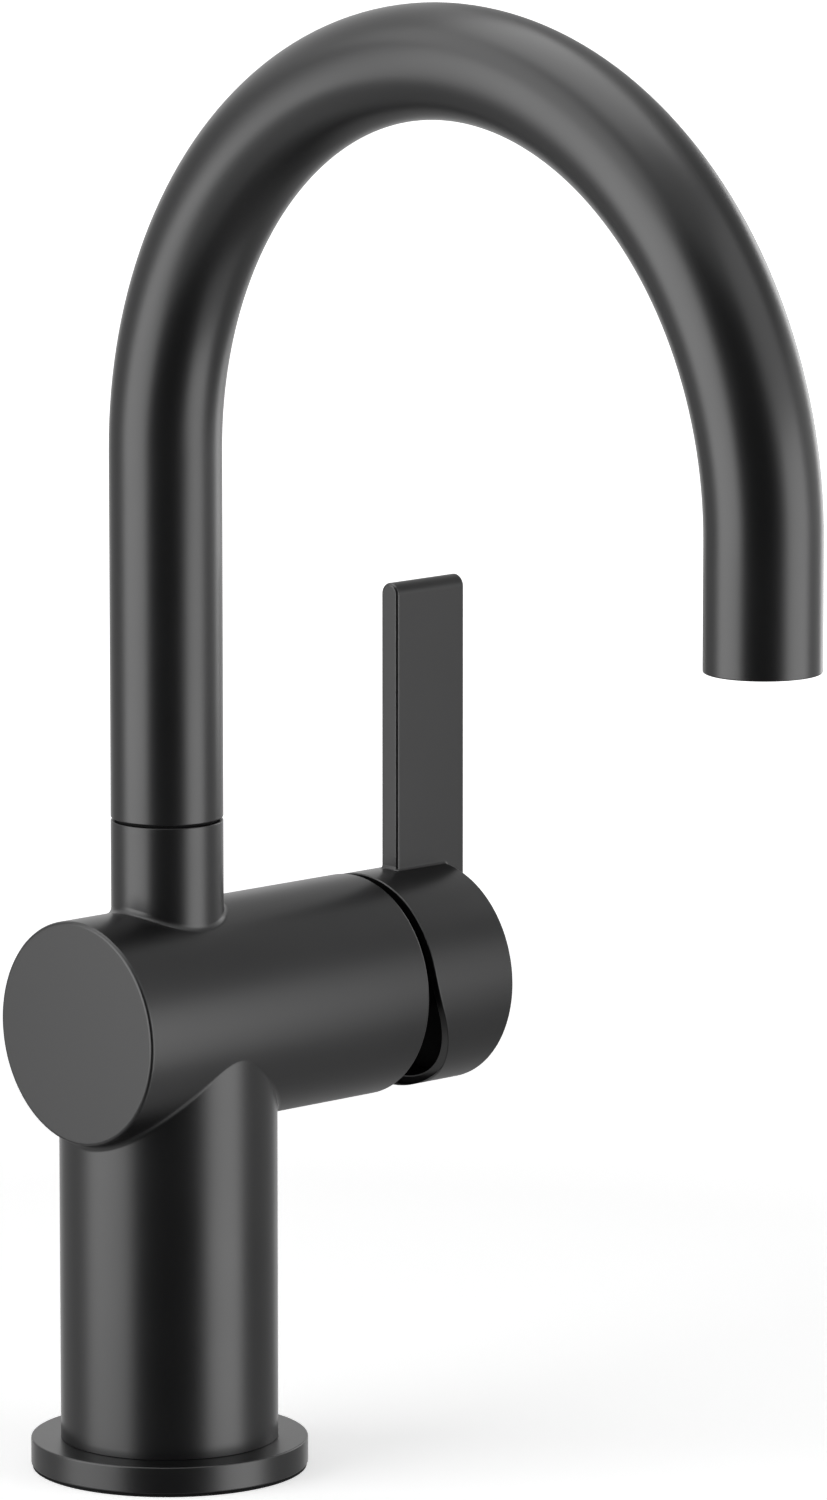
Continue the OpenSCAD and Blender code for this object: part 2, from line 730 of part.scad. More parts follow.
module spout_tube() color(PAINT) {
    translate([0, 0, tube_z]) edged_pipe(tube_in_r, neck_r, bend_z - tube_z, spout_edge);
    translate([0, -bend_r, bend_z]) rotate([90, 0, 90]) rotate_extrude(angle = 180)
        translate([bend_r, 0]) difference() {
            circle(neck_r);
            circle(tube_in_r);
        }
    at_outlet(outlet_z) edged_pipe(tube_in_r, neck_r, spout_drop, spout_edge);
}

module at_seals() for (i = [0, 1])
    translate([0, 0, neck_top - seal_depth - i * seal_pitch]) children();

module spout_shank() color(BRASS) difference() {
    union() {
        translate([0, 0, shank_z]) cylinder(r = shank_r, h = tube_z - shank_z);
        translate([0, 0, tube_z]) cylinder(r = tube_plug_r, h = plug_len);
    }
    translate([0, 0, shank_z - over]) cylinder(d = shank_bore, h = tube_z - shank_z + plug_len + 2 * over);
    at_seals() translate([0, 0, -seal_groove_w / 2]) ring(groove_r, shank_r + over, seal_groove_w);
    translate([0, 0, clip_z - clear]) ring(groove_r, shank_r + over, clip_t + 2 * clear);
    translate([0, 0, glide_z]) ring(groove_r, shank_r + over, glide_h);
}

module shank_seals() color(RUBBER) at_seals()
    translate([0, 0, -seal_r]) o_ring(groove_r + film + seal_r, seal_r);

module glide_ring() color(WHITE) translate([0, 0, glide_z])
    ring(groove_r + seat_fit, neck_bore_r - seat_fit, glide_h - seat_fit);

module spout_clip() color(STEEL) translate([0, 0, clip_z]) rotate_extrude(angle = 360 - clip_gap_a)
    translate([clip_in_r, 0]) square([clip_groove_r - seat_fit - clip_in_r, clip_t]);

module glide_washer() color(RUBBER) translate([0, 0, neck_top])
    ring(neck_bore_r + clear, neck_r - washer_back, joint_gap - film);

// Outlet

module outlet_insert() color(BRASS) difference() {
    at_outlet(insert_z) cylinder(r = tube_plug_r, h = insert_top - insert_z);
    at_outlet(insert_z - over) cylinder(r = insert_bore_r, h = lip_z - insert_z + over);
    at_outlet(insert_z) cylinder(r = insert_bore_r - insert_lip_w, h = insert_top - insert_z + over);
}

module aerator_housing() color(GREY) at_outlet(aerator_z) {
    ring(aerator_in_r, aerator_r, aerator_h);
    grid(aerator_in_r + eps, grid_t);
}

module aerator_washer() color(RUBBER) at_outlet(washer_z)
    ring(mixer_r - stack_play, aerator_r - stack_play, aerator_washer_t);

module flow_disc() color(WHITE) at_outlet(flow_z) difference() {
    cylinder(r = mixer_r, h = flow_disc_t);
    for (i = [1:flow_holes]) rotate([0, 0, i * 360 / flow_holes])
        translate([flow_ring_r, 0, -over]) cylinder(d = flow_hole_d, h = flow_disc_t + 2 * over);
}

module aerator_mixer() color(WHITE) at_outlet(mixer_z) {
    ring(mixer_r - mixer_wall, mixer_r, mixer_top - mixer_z);
    grid(mixer_r - mixer_wall + eps, grid_t);
}

body_casting();
base_ring();
base_gasket();
hot_inlet_tube();
cold_inlet_tube();
port_seals();
cartridge_base();
disc_seals();
fixed_disc();
moving_disc();
disc_carrier();
rotor();
stem_pin();
stem();
limit_stop();
cartridge_housing();
retaining_nut();
handle();
handle_screw();
screw_plug();
spout_tube();
spout_shank();
shank_seals();
glide_ring();
spout_clip();
glide_washer();
outlet_insert();
aerator_housing();
aerator_washer();
flow_disc();
aerator_mixer();
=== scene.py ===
import json
from math import radians
import bpy
import numpy as np
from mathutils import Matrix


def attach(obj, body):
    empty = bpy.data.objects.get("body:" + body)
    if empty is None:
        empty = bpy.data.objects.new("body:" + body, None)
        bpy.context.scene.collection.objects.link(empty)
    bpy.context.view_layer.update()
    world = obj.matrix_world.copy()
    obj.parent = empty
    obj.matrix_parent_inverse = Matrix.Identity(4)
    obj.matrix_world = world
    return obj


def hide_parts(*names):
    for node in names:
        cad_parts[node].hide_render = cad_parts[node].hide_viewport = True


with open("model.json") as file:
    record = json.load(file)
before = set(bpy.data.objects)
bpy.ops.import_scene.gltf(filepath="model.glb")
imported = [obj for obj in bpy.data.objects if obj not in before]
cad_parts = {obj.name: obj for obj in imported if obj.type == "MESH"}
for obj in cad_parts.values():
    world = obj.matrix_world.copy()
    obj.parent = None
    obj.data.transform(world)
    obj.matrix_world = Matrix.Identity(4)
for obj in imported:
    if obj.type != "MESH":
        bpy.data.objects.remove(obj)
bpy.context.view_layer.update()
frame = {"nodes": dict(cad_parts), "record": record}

# Bar faucet. Sizes are in millimetres, as in the CAD model, and become metres in finishMesh.
# +X runs along the barrel to the lever, -Y to the sink, and z is the height above the deck.
print("frame loaded:", len(frame["nodes"]), "nodes")

barrelZ = 103.6      # height of the barrel's axis
metre = 1000         # in millimetres
arcPoints = 7        # points on a rounded edge or a fillet
smallArcPoints = 5   # the same on the handle's rim and round its plug
mergeDigits = 4      # corners that agree to this many digits of a millimetre are one
tiny = 1e-6          # lengths and angles below this count as none


def roundedProfile(corners, edges, stations=()):
    # A side view as straight stretches and edge arcs, given as (place along the axis, radius).
    # Each corner is cut back by edge * tan(half the turn) on both sides and an arc of that radius
    # joins the two ends. The normal is the direction of travel turned left, so a solid's outer
    # wall is drawn towards +axis. Stations are extra places on the straight stretches.
    corners = np.array(corners, float)
    closed = np.allclose(corners[0], corners[-1])
    edges = np.array(edges, float)
    along = np.diff(corners, axis=0)
    along /= np.linalg.norm(along, axis=1)[:, None]
    left = np.stack([-along[:, 1], along[:, 0]], axis=1)
    before, after = np.roll(along, 1, axis=0), along
    turn = np.arctan2(before[:, 0] * after[:, 1] - before[:, 1] * after[:, 0],
                      (before * after).sum(axis=1))
    turn = np.append(turn, turn[0])
    if not closed:
        turn[0] = turn[-1] = 0
    cut = edges * np.tan(np.abs(turn) / 2)
    parts = []
    for i in range(len(along)):
        start = corners[i] + along[i] * cut[i]
        end = corners[i + 1] - along[i] * cut[i + 1]
        inside = [s for s in stations
                  if abs(along[i, 1]) < tiny and min(start[0], end[0]) < s < max(start[0], end[0])]
        inside = sorted(inside, reverse=bool(along[i, 0] < 0))
        line = np.array([start] + [[s, start[1]] for s in inside] + [end])
        parts.append((line, np.tile(left[i], (len(line), 1))))
        if edges[i + 1] > 0 and abs(turn[i + 1]) > tiny:
            side = -np.sign(turn[i + 1])    # 1 on an outer edge, -1 in an inner corner
            centre = end - side * left[i] * edges[i + 1]
            angle = np.arctan2(left[i, 1], left[i, 0]) + turn[i + 1] * np.linspace(0, 1, arcPoints)
            normal = np.stack([np.cos(angle), np.sin(angle)], axis=1)
            parts.append((centre + side * edges[i + 1] * normal, normal))
    return parts


def uprightAt(x, y):
    # Frame of an upright axis: centre, along, and the two directions across it
    def place(s):
        one = np.ones_like(s)
        centre = np.stack([x * one, y * one, s], axis=-1)
        return [centre] + [np.outer(one, v) for v in ((0, 0, 1), (1, 0, 0), (0, 1, 0))]
    return place


def alongBarrel(s):
    # Frame of the barrel's axis: a ring starts at the top and turns towards +Y
    one = np.ones_like(s)
    centre = np.stack([s, 0 * one, barrelZ * one], axis=-1)
    return [centre] + [np.outer(one, v) for v in ((1, 0, 0), (0, 0, 1), (0, 1, 0))]


def carried(parts, place, turns=128):
    # A profile carried round its axis: centre + radius * (cos * first across + sin * second across)
    angle = np.linspace(0, 2 * np.pi, turns + 1)
    patches = []
    for line, normal in parts:
        centre, along, first, second = place(line[:, 0])
        ring = (np.cos(angle)[:, None] * first[:, None, :]
                + np.sin(angle)[:, None] * second[:, None, :])
        patches.append((centre[:, None] + line[:, 1, None, None] * ring,
                        normal[:, 0, None, None] * along[:, None] + normal[:, 1, None, None] * ring))
    return patches


def thread(place, radius, depth, pitch, low, high, inwards, turns=96, steps=8, flatness=1.5):
    # A screw thread: the place along the axis grows by one pitch a turn, and the radius follows
    # flatness * cosine of the step within the pitch, cut off at 1 and -1. The wave fades out over a
    # pitch at both ends. The normal is the cross product of the steps along and round the thread.
    angle = np.linspace(0, 2 * np.pi, turns + 1)
    row = np.arange(int(steps * ((high - low) / pitch + 2)) + 1) / steps
    s = np.clip(low - pitch + pitch * (row[:, None] + angle / (2 * np.pi)), low, high)
    fade = np.clip(np.minimum(s - low, high - s) / pitch, 0, 1)
    wave = np.clip(flatness * np.cos(2 * np.pi * row), -1, 1)[:, None]
    r = radius + depth / 2 * wave * fade
    centre, along, first, second = [v.reshape(s.shape + (3,)) for v in place(s.ravel())]
    ring = np.cos(angle)[:, None] * first + np.sin(angle)[:, None] * second
    points = centre + r[..., None] * ring
    across = np.cross(np.gradient(points, axis=0), np.gradient(points, axis=1))
    size = np.linalg.norm(across, axis=2, keepdims=True)
    side = -1 if inwards else 1
    facing = np.sign((across * ring).sum(axis=2, keepdims=True)) * side
    normal = np.where(size > tiny, across * facing / np.maximum(size, tiny), ring * side)
    return (points, normal)


def saddle(post, bar, ball, angle, height=1, bite=1):
    # A ball rolls in the corner between an upright post and a lying bar. Its centre is post + ball
    # from the post's axis and bar + ball from the bar's (bar - ball with bite -1, for the rounded
    # mouth of a hole). It touches the post straight across, and the bar towards the bar's axis.
    reach, away = post + ball, bar + bite * ball
    x, y = reach * np.cos(angle), reach * np.sin(angle)
    z = height * np.sqrt(away ** 2 - y ** 2)
    centre = np.stack([x, y, z], axis=-1)
    onPost = np.stack([post * np.cos(angle), post * np.sin(angle), z], axis=-1)
    onBar = centre * np.array([1, bar / away, bar / away])
    return centre, onPost, onBar


def arcBetween(centre, start, end, side, count=arcPoints):
    # The arc from start to end about each centre: directions are blended by equal angles, and the
    # normal points away from the centre (side 1, an edge) or towards it (side -1, a fillet)
    first, last = start - centre, end - centre
    radius = np.linalg.norm(first, axis=1, keepdims=True)
    first, last = first / radius, last / radius
    angle = np.arccos(np.clip((first * last).sum(axis=1), -1, 1))[:, None, None]
    t = np.linspace(0, 1, count)[None, :, None]
    way = np.sin((1 - t) * angle) * first[:, None] + np.sin(t * angle) * last[:, None]
    way = way / np.sin(angle)
    return (centre[:, None] + radius[:, None] * way, side * way)


def onBarrel(radius, x, turn):
    # Point and normal on a cylinder round the barrel's axis, turn counted from the top towards +Y
    ring = np.stack([0 * turn, np.sin(turn), np.cos(turn)], axis=-1)
    return ring * radius + np.stack([x, 0 * x, 0 * x], axis=-1), ring


def squareRound(angle):
    # The edge of a square instead of a circle: 1 for an eighth of a turn to each side of its
    # direction, then straight down to -1, like a cosine with flat tops
    away = np.abs((angle / (np.pi / 2) + 2) % 4 - 2)
    return np.clip(2 - 2 * away, -1, 1)


def holedPatch(holeX, holeTurn, angle, span, half, steps):
    # Barrel surface between a hole and the box round it, blended in length and turn:
    # (1 - t) * the hole's edge + t * the box's edge at the same angle
    boxX = (span[0] + span[1]) / 2 + (span[1] - span[0]) / 2 * squareRound(angle)
    boxTurn = half * squareRound(angle - np.pi / 2)
    t = np.linspace(0, 1, steps + 1)[:, None]
    return (1 - t) * holeX + t * boxX, (1 - t) * holeTurn + t * boxTurn


def lifted(patches):
    # From heights above the barrel's axis to heights above the deck
    return [(points + np.array([0, 0, barrelZ]), normal) for points, normal in patches]


def mirrored(patches):
    # The same patches on the other side of the plane y = 0
    flip = np.array([1, -1, 1])
    return [(points * flip, normal * flip) for points, normal in patches]


replaced = set()     # CAD nodes that a finer mesh stands in for


def finishMesh(name, patches, slot, body, *nodes, shadedInside=()):
    # Joins grid patches into one closed mesh: corners that coincide become one vertex, cells that
    # shrink to a line are left out, and each corner of a face keeps its own patch's exact normal.
    # The inside patches get a second, matt finish with almost no gleam: painted shade for the hollow of
    # the hub.
    def cells(grid):
        return np.stack([grid[:-1, :-1], grid[1:, :-1], grid[1:, 1:], grid[:-1, 1:]],
                        axis=2).reshape(-1, 4, 3)
    corners = np.concatenate([cells(points) for points, _ in (*patches, *shadedInside)])
    normals = np.concatenate([cells(normal) for _, normal in (*patches, *shadedInside)])
    painted = sum(len(cells(points)) for points, _ in patches)
    facing = np.cross(corners[:, 2] - corners[:, 0], corners[:, 3] - corners[:, 1])
    back = (facing * normals.sum(axis=1)).sum(axis=1) < 0
    corners[back], normals[back] = corners[back][:, ::-1], normals[back][:, ::-1]
    places = np.round(corners.reshape(-1, 3), mergeDigits) + 0.0
    vertices, index = np.unique(places, axis=0, return_inverse=True)
    index = index.reshape(-1, 4)
    # A corner is kept where it differs from the one before, and a face where three are left
    keep = index != np.roll(index, 1, axis=1)
    keep &= ~((index[:, [0]] == index[:, [2]]) | (index[:, [1]] == index[:, [3]]))
    keep &= (keep.sum(axis=1) > 2)[:, None]
    totals = keep.sum(axis=1)
    finish = (np.arange(len(totals)) >= painted)[totals > 0]
    totals = totals[totals > 0]
    used = index[keep]
    mesh = bpy.data.meshes.new(name)
    mesh.vertices.add(len(vertices))
    mesh.vertices.foreach_set("co", (vertices / metre).ravel())
    mesh.loops.add(len(used))
    mesh.loops.foreach_set("vertex_index", used)
    mesh.polygons.add(len(totals))
    mesh.polygons.foreach_set("loop_start", np.cumsum(totals) - totals)
    mesh.polygons.foreach_set("loop_total", totals)
    mesh.update(calc_edges=True)
    mesh.polygons.foreach_set("use_smooth", np.ones(len(totals), bool))
    mesh.polygons.foreach_set("material_index", finish.astype(int))
    direction = normals[keep] / np.linalg.norm(normals[keep], axis=1, keepdims=True)
    mesh.normals_split_custom_set(direction.tolist())
    mesh.materials.append(materials[slotLooks[slot]])
    # The second slot is the matt finish that paints the shade inside the hub
    if shadedInside:
        mesh.materials.append(materials["hubShadeMatt"])
    piece = bpy.data.objects.new(name, mesh)
    bpy.context.scene.collection.objects.link(piece)
    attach(piece, body)
    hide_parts(*nodes)
    replaced.update(nodes)
    edges = np.sort(np.stack([used, used[following(totals)]], axis=1), axis=1)
    count = np.unique(edges, axis=0, return_counts=True)[1]
    print(f"{name}: {len(totals)} faces, {int((count != 2).sum())} open edges")


def following(totals):
    # Index of the next corner of the same face, for each corner
    ends = np.cumsum(totals)
    step = np.arange(ends[-1]) + 1
    step[ends - 1] = ends - totals
    return step


def hexColour(code):
    # sRGB to linear: c / 12.92 where dark, else ((c + 0.055) / 1.055) to the power 2.4
    srgb = np.array([int(code[i:i + 2], 16) for i in (1, 3, 5)]) / 255
    linear = np.where(srgb <= 0.04045, srgb / 12.92, ((srgb + 0.055) / 1.055) ** 2.4)
    return (*linear.tolist(), 1.0)


def addNode(tree, kind, settings=None, inputs=None):
    # Adds a node: settings are its properties, and an input is a value or another node's output
    node = tree.nodes.new(kind)
    for key, value in (settings or {}).items():
        setattr(node, key, value)
    for key, value in (inputs or {}).items():
        if isinstance(value, bpy.types.NodeSocket):
            tree.links.new(value, node.inputs[key])
        else:
            node.inputs[key].default_value = value
    return node


def perMetre(sizeMm):
    # Noise scale for a feature of this size: features in a metre
    return metre / sizeMm


def makeMaterial(name, look):
    # A body colour and a roughness that drift slowly between two values, and a bump from a fine
    # grain. The drift's noise lies mostly between 0.3 and 0.7, which gives the roughness its span.
    noiseLow, noiseHigh = 0.3, 0.7
    material = bpy.data.materials.new(name)
    material.use_nodes = True
    tree = material.node_tree
    tree.nodes.clear()
    place = addNode(tree, "ShaderNodeTexCoord").outputs["Object"]
    drift = addNode(tree, "ShaderNodeTexNoise", None,
                    {"Vector": place, "Scale": perMetre(look["driftMm"]), "Detail": 3.0})
    grain = addNode(tree, "ShaderNodeTexNoise", None,
                    {"Vector": place, "Scale": perMetre(look["grainMm"]), "Detail": 4.0})
    colour = addNode(tree, "ShaderNodeMix", {"data_type": "RGBA"}, {"Factor": drift.outputs["Fac"]})
    colour.inputs["A"].default_value = hexColour(look["colour"])
    colour.inputs["B"].default_value = hexColour(look["colourTo"])
    rough = addNode(tree, "ShaderNodeMapRange", None, {
        "Value": drift.outputs["Fac"], "From Min": noiseLow, "From Max": noiseHigh,
        "To Min": look["roughness"] - look["roughnessSpread"],
        "To Max": look["roughness"] + look["roughnessSpread"]})
    height = grain.outputs["Fac"]
    if look.get("ringMm"):
        # Turning marks: rings round the piece's axis, from the length or the height of the point.
        # A wave texture of scale 1 has a band every 2 * pi / 20 metres. Height: 0.6 * ring + grain.
        ring = addNode(tree, "ShaderNodeTexWave", {
            "wave_type": "BANDS", "bands_direction": look["ringAxis"]}, {
            "Vector": place, "Scale": perMetre(look["ringMm"]) * 2 * np.pi / 20, "Distortion": 0.4,
            "Detail": 2.0, "Detail Scale": 1.5})
        height = addNode(tree, "ShaderNodeMath", {"operation": "MULTIPLY_ADD"}, {
            0: ring.outputs["Fac"], 1: 0.6, 2: grain.outputs["Fac"]}).outputs[0]
    bump = addNode(tree, "ShaderNodeBump", None, {
        "Height": height, "Strength": look["bump"], "Distance": look["bumpMm"] / metre})
    shader = addNode(tree, "ShaderNodeBsdfPrincipled", None, {
        "Base Color": colour.outputs["Result"], "Roughness": rough.outputs["Result"],
        "Normal": bump.outputs["Normal"], "Metallic": look["metallic"]})
    if not look["metallic"]:
        shader.inputs["IOR"].default_value = look["ior"]
    addNode(tree, "ShaderNodeOutputMaterial", None, {"Surface": shader.outputs["BSDF"]})
    return material


looks = {
    # Satin black enamel, sprayed and baked on brass: almost no colour of its own, so the eye
    # reads it by wide soft reflections, with a faint orange peel of about 1.5 mm
    "blackEnamel": {"colour": "#0a0a0b", "colourTo": "#0e0e0f", "driftMm": 40, "grainMm": 1.5,
                    "roughness": 0.33, "roughnessSpread": 0.02, "bump": 0.05, "bumpMm": 0.02,
                    "metallic": 0.0, "ior": 1.5},
    # Painted shade for the hollow of the hub: the same enamel made matt dark grey, with an IOR so low
    # that no gleam is left
    "hubShadeMatt": {"colour": "#1a1a1b", "colourTo": "#222223", "driftMm": 10, "grainMm": 0.5,
                      "roughness": 0.8, "roughnessSpread": 0.05, "bump": 0.2, "bumpMm": 0.03,
                      "metallic": 0.0, "ior": 1.15},
    # EPDM, moulded: dull and dark, the grain of the mould drawn at 0.6 mm so that it shows. Its IOR of
    # 1.2, below real rubber's, takes out most of the gleam: painted shade for the washer deep in the
    # spout joint's groove
    "epdmRubber": {"colour": "#0b0b0b", "colourTo": "#101011", "driftMm": 12, "grainMm": 0.6,
                   "roughness": 0.75, "roughnessSpread": 0.06, "bump": 0.3, "bumpMm": 0.04,
                   "metallic": 0.0, "ior": 1.2},
    # Nitrile, moulded and greased: as dark, but with a wet gleam
    "nitrileRubber": {"colour": "#101011", "colourTo": "#161617", "driftMm": 6, "grainMm": 0.4,
                      "roughness": 0.38, "roughnessSpread": 0.05, "bump": 0.1, "bumpMm": 0.02,
                      "metallic": 0.0, "ior": 1.52},
    # Free-cutting brass, turned: yellow metal with fine rings from the tool, drawn at 0.5 mm
    "turnedBrass": {"colour": "#c7a45c", "colourTo": "#b48f48", "driftMm": 9, "grainMm": 0.8,
                    "roughness": 0.27, "roughnessSpread": 0.06, "bump": 0.25, "bumpMm": 0.02,
                    "metallic": 1.0, "ringMm": 0.5, "ringAxis": "Z"},
    # Brass, turned: dark brown-black metal that still shows its rings. The dark colour is painted shade
    # for the nut deep in the gap between barrel and hub
    "gapShadeBrass": {"colour": "#1d1c1a", "colourTo": "#151412", "driftMm": 7, "grainMm": 0.8,
                       "roughness": 0.42, "roughnessSpread": 0.07, "bump": 0.25, "bumpMm": 0.02,
                       "metallic": 1.0, "ringMm": 0.5, "ringAxis": "X"},
    # Stainless steel, turned: cool grey metal with fine rings
    "turnedSteel": {"colour": "#b9babb", "colourTo": "#a4a5a8", "driftMm": 5, "grainMm": 0.6,
                    "roughness": 0.24, "roughnessSpread": 0.05, "bump": 0.2, "bumpMm": 0.02,
                    "metallic": 1.0, "ringMm": 0.4, "ringAxis": "X"},
    # Acetal, moulded white: waxy half gloss
    "whiteAcetal": {"colour": "#dcdcd8", "colourTo": "#d2d2cd", "driftMm": 10, "grainMm": 0.7,
                    "roughness": 0.42, "roughnessSpread": 0.05, "bump": 0.12, "bumpMm": 0.03,
                    "metallic": 0.0, "ior": 1.48},
    # Acetal, moulded grey: the same waxy half gloss, a shade duller
    "greyAcetal": {"colour": "#70747a", "colourTo": "#666a70", "driftMm": 10, "grainMm": 0.7,
                   "roughness": 0.45, "roughnessSpread": 0.05, "bump": 0.12, "bumpMm": 0.03,
                   "metallic": 0.0, "ior": 1.48},
    # Alumina, pressed, fired and lapped: ivory white with a smooth sheen
    "lappedAlumina": {"colour": "#e6e1d6", "colourTo": "#ded8cb", "driftMm": 8, "grainMm": 0.3,
                      "roughness": 0.2, "roughnessSpread": 0.04, "bump": 0.05, "bumpMm": 0.01,
                      "metallic": 0.0, "ior": 1.76},
}
looks["turnedBrassLying"] = {**looks["turnedBrass"], "ringAxis": "X"}
materials = {name: makeMaterial(name, look) for name, look in looks.items()}
slotLooks = {"black_paint": "blackEnamel", "gasket_rubber": "epdmRubber",
             "seal_rubber": "nitrileRubber", "bare_brass": "turnedBrass",
             "dark_brass": "gapShadeBrass", "steel": "turnedSteel",
             "white_plastic": "whiteAcetal", "grey_plastic": "greyAcetal",
             "ceramic": "lappedAlumina"}
print("materials made:", len(materials))


bodySizes = {
    "barrelRadius": 25.5, "barrelBack": -27.7, "barrelFront": 57.4, "barrelEdge": 0.5,
    "backEdge": 0.85,
    "columnRadius": 24.7, "columnFoot": 6.9, "columnFillet": 1.8, "footEdge": 0.15,
    "neckRadius": 12.7, "neckTop": 149.2, "neckEdge": 0.3, "neckFillet": 1.6,
    "neckBore": 10.5, "neckFloor": 120.7,
    "spigotRadius": 22.1, "spigotFoot": 2.1, "shankRadius": 16.5, "shankTop": 14.1,
    "threadPitch": 2.0, "threadDepth": 1.1, "cavityRadius": 18.7, "cavityTop": 75.9,
    "nutBore": 20.05, "nutSeat": 50.0, "cartridgeBore": 17.7, "cartridgeSeat": 17.88,
    "nutMouthEdge": 0.25, "neckMouthEdge": 0.2, "cavityEdge": 1.0, "spigotEdge": 0.3,
    "neckSteps": 20, "columnSteps": 14,
}


def bodyPatches(size, turns=256):
    # Column, barrel and neck as one skin: a ball rolls round both joints, and the barrel's wall is
    # laid in two halves round the holes that the ball leaves, upper and lower
    angle = np.linspace(0, 2 * np.pi, turns + 1)
    radius, edge = size["barrelRadius"], size["barrelEdge"]
    span = size["barrelBack"] + size["backEdge"], -size["barrelBack"] - size["backEdge"]
    patches = []
    for post, fillet, height, steps in (
            (size["neckRadius"], size["neckFillet"], 1, size["neckSteps"]),
            (size["columnRadius"], size["columnFillet"], -1, size["columnSteps"])):
        centre, onPost, onBar = saddle(post, radius, fillet, angle, height)
        patches.append(arcBetween(centre, onPost, onBar, side=-1))
        holeTurn = np.arctan2(onBar[:, 1], height * onBar[:, 2])
        x, turn = holedPatch(onBar[:, 0], holeTurn, angle, span, np.pi / 2, steps)
        patches.append(onBarrel(radius, x, turn if height > 0 else np.pi - turn))
        # The post's wall, from the fillet to its other end
        end = (size["neckTop"] - size["neckEdge"] if height > 0
               else size["columnFoot"] + size["footEdge"]) - barrelZ
        wall = np.stack([onPost, onPost * [1, 1, 0] + [0, 0, end]])
        ring = onPost * [1, 1, 0] / post
        patches.append((wall, np.stack([ring, ring])))
    turn = np.linspace(-np.pi / 2, 3 * np.pi / 2, turns // 2 + 1)
    length = np.array([span[1], size["barrelFront"] - edge])
    patches.append(onBarrel(radius, *np.meshgrid(length, turn)))
    patches = lifted(patches)
    # Closed end, then the open end with the seats of the nut and the cartridge
    patches += carried(roundedProfile(
        [(size["barrelBack"], 0), (size["barrelBack"], radius), (span[0], radius)],
        [0, size["backEdge"], 0]), alongBarrel, turns // 2)
    patches += carried(roundedProfile(
        [(size["barrelFront"] - edge, radius), (size["barrelFront"], radius),
         (size["barrelFront"], size["nutBore"]), (size["nutSeat"], size["nutBore"]),
         (size["nutSeat"], size["cartridgeBore"]), (size["cartridgeSeat"], size["cartridgeBore"]),
         (size["cartridgeSeat"], 0)],
        [0, edge, size["nutMouthEdge"], 0, 0, 0, 0]), alongBarrel, turns // 2)
    # Neck's top and its bore
    patches += carried(roundedProfile(
        [(size["neckTop"] - size["neckEdge"], size["neckRadius"]),
         (size["neckTop"], size["neckRadius"]), (size["neckTop"], size["neckBore"]),
         (size["neckFloor"], size["neckBore"]), (size["neckFloor"], 0)],
        [0, size["neckEdge"], size["neckMouthEdge"], 0, 0]), uprightAt(0, 0), turns)
    # Hollow of the column, the thread for the mounting shank, and the foot that the ring fits
    patches += carried(roundedProfile(
        [(size["cavityTop"], 0), (size["cavityTop"], size["cavityRadius"]),
         (size["shankTop"], size["cavityRadius"]), (size["shankTop"], size["shankRadius"])],
        [0, size["cavityEdge"], 0, 0]), uprightAt(0, 0), turns)
    patches.append(thread(uprightAt(0, 0), size["shankRadius"], size["threadDepth"],
                          size["threadPitch"], size["spigotFoot"], size["shankTop"],
                          inwards=True, turns=turns))
    patches += carried(roundedProfile(
        [(size["spigotFoot"], size["shankRadius"]), (size["spigotFoot"], size["spigotRadius"]),
         (size["columnFoot"], size["spigotRadius"]), (size["columnFoot"], size["columnRadius"]),
         (size["columnFoot"] + size["footEdge"], size["columnRadius"])],
        [0, size["spigotEdge"], 0, size["footEdge"], 0]), uprightAt(0, 0), turns)
    return patches


finishMesh("bodyCasting", bodyPatches(bodySizes), "black_paint", "body", "body_casting")


baseSizes = {"radius": 31.5, "low": 0.7, "high": 6.9, "edge": 0.4, "hole": 22.15, "holeEdge": 0.3,
             "groove": (25.25, 28.35, 2.15), "grooveEdge": 0.1}
gasketSizes = {"radius": 31.2, "hole": 23.1, "thick": 0.7, "rib": (25.3, 28.3, 2.1), "edge": 0.15}


def basePatches(size, turns=192):
    # A ring with a groove underneath, for the gasket's rib
    inner, outer, top = size["groove"]
    low, high = size["low"], size["high"]
    edge, holeEdge, grooveEdge = size["edge"], size["holeEdge"], size["grooveEdge"]
    corners = [(low, size["radius"]), (high, size["radius"]), (high, size["hole"]),
               (low, size["hole"]), (low, inner), (top, inner), (top, outer), (low, outer),
               (low, size["radius"])]
    edges = [edge, edge, holeEdge, holeEdge, *[grooveEdge] * 4, edge]
    return carried(roundedProfile(corners, edges), uprightAt(0, 0), turns)


def gasketPatches(size, turns=192):
    # A flat ring with a rib on top
    inner, outer, top = size["rib"]
    thick, edge = size["thick"], size["edge"]
    corners = [(0, size["radius"]), (thick, size["radius"]), (thick, outer), (top, outer),
               (top, inner), (thick, inner), (thick, size["hole"]), (0, size["hole"]),
               (0, size["radius"])]
    return carried(roundedProfile(corners, [edge, edge, 0, edge, edge, 0, edge, edge, edge]),
                   uprightAt(0, 0), turns)


finishMesh("baseRing", basePatches(baseSizes), "black_paint", "body", "base_ring")
finishMesh("baseGasket", gasketPatches(gasketSizes), "gasket_rubber", "body", "base_gasket")


supplySizes = {"x": 6.0, "y": 7.2, "low": 18.1, "high": 31.1, "socket": 6.2, "tube": 4.0,
               "top": 82.9, "threadRadius": 4.5, "threadTop": 29.1, "bore": 2.8,
               "pitch": 1.0, "depth": 0.6, "edge": 0.5, "shoulderEdge": 0.4, "tubeEdge": 0.2}


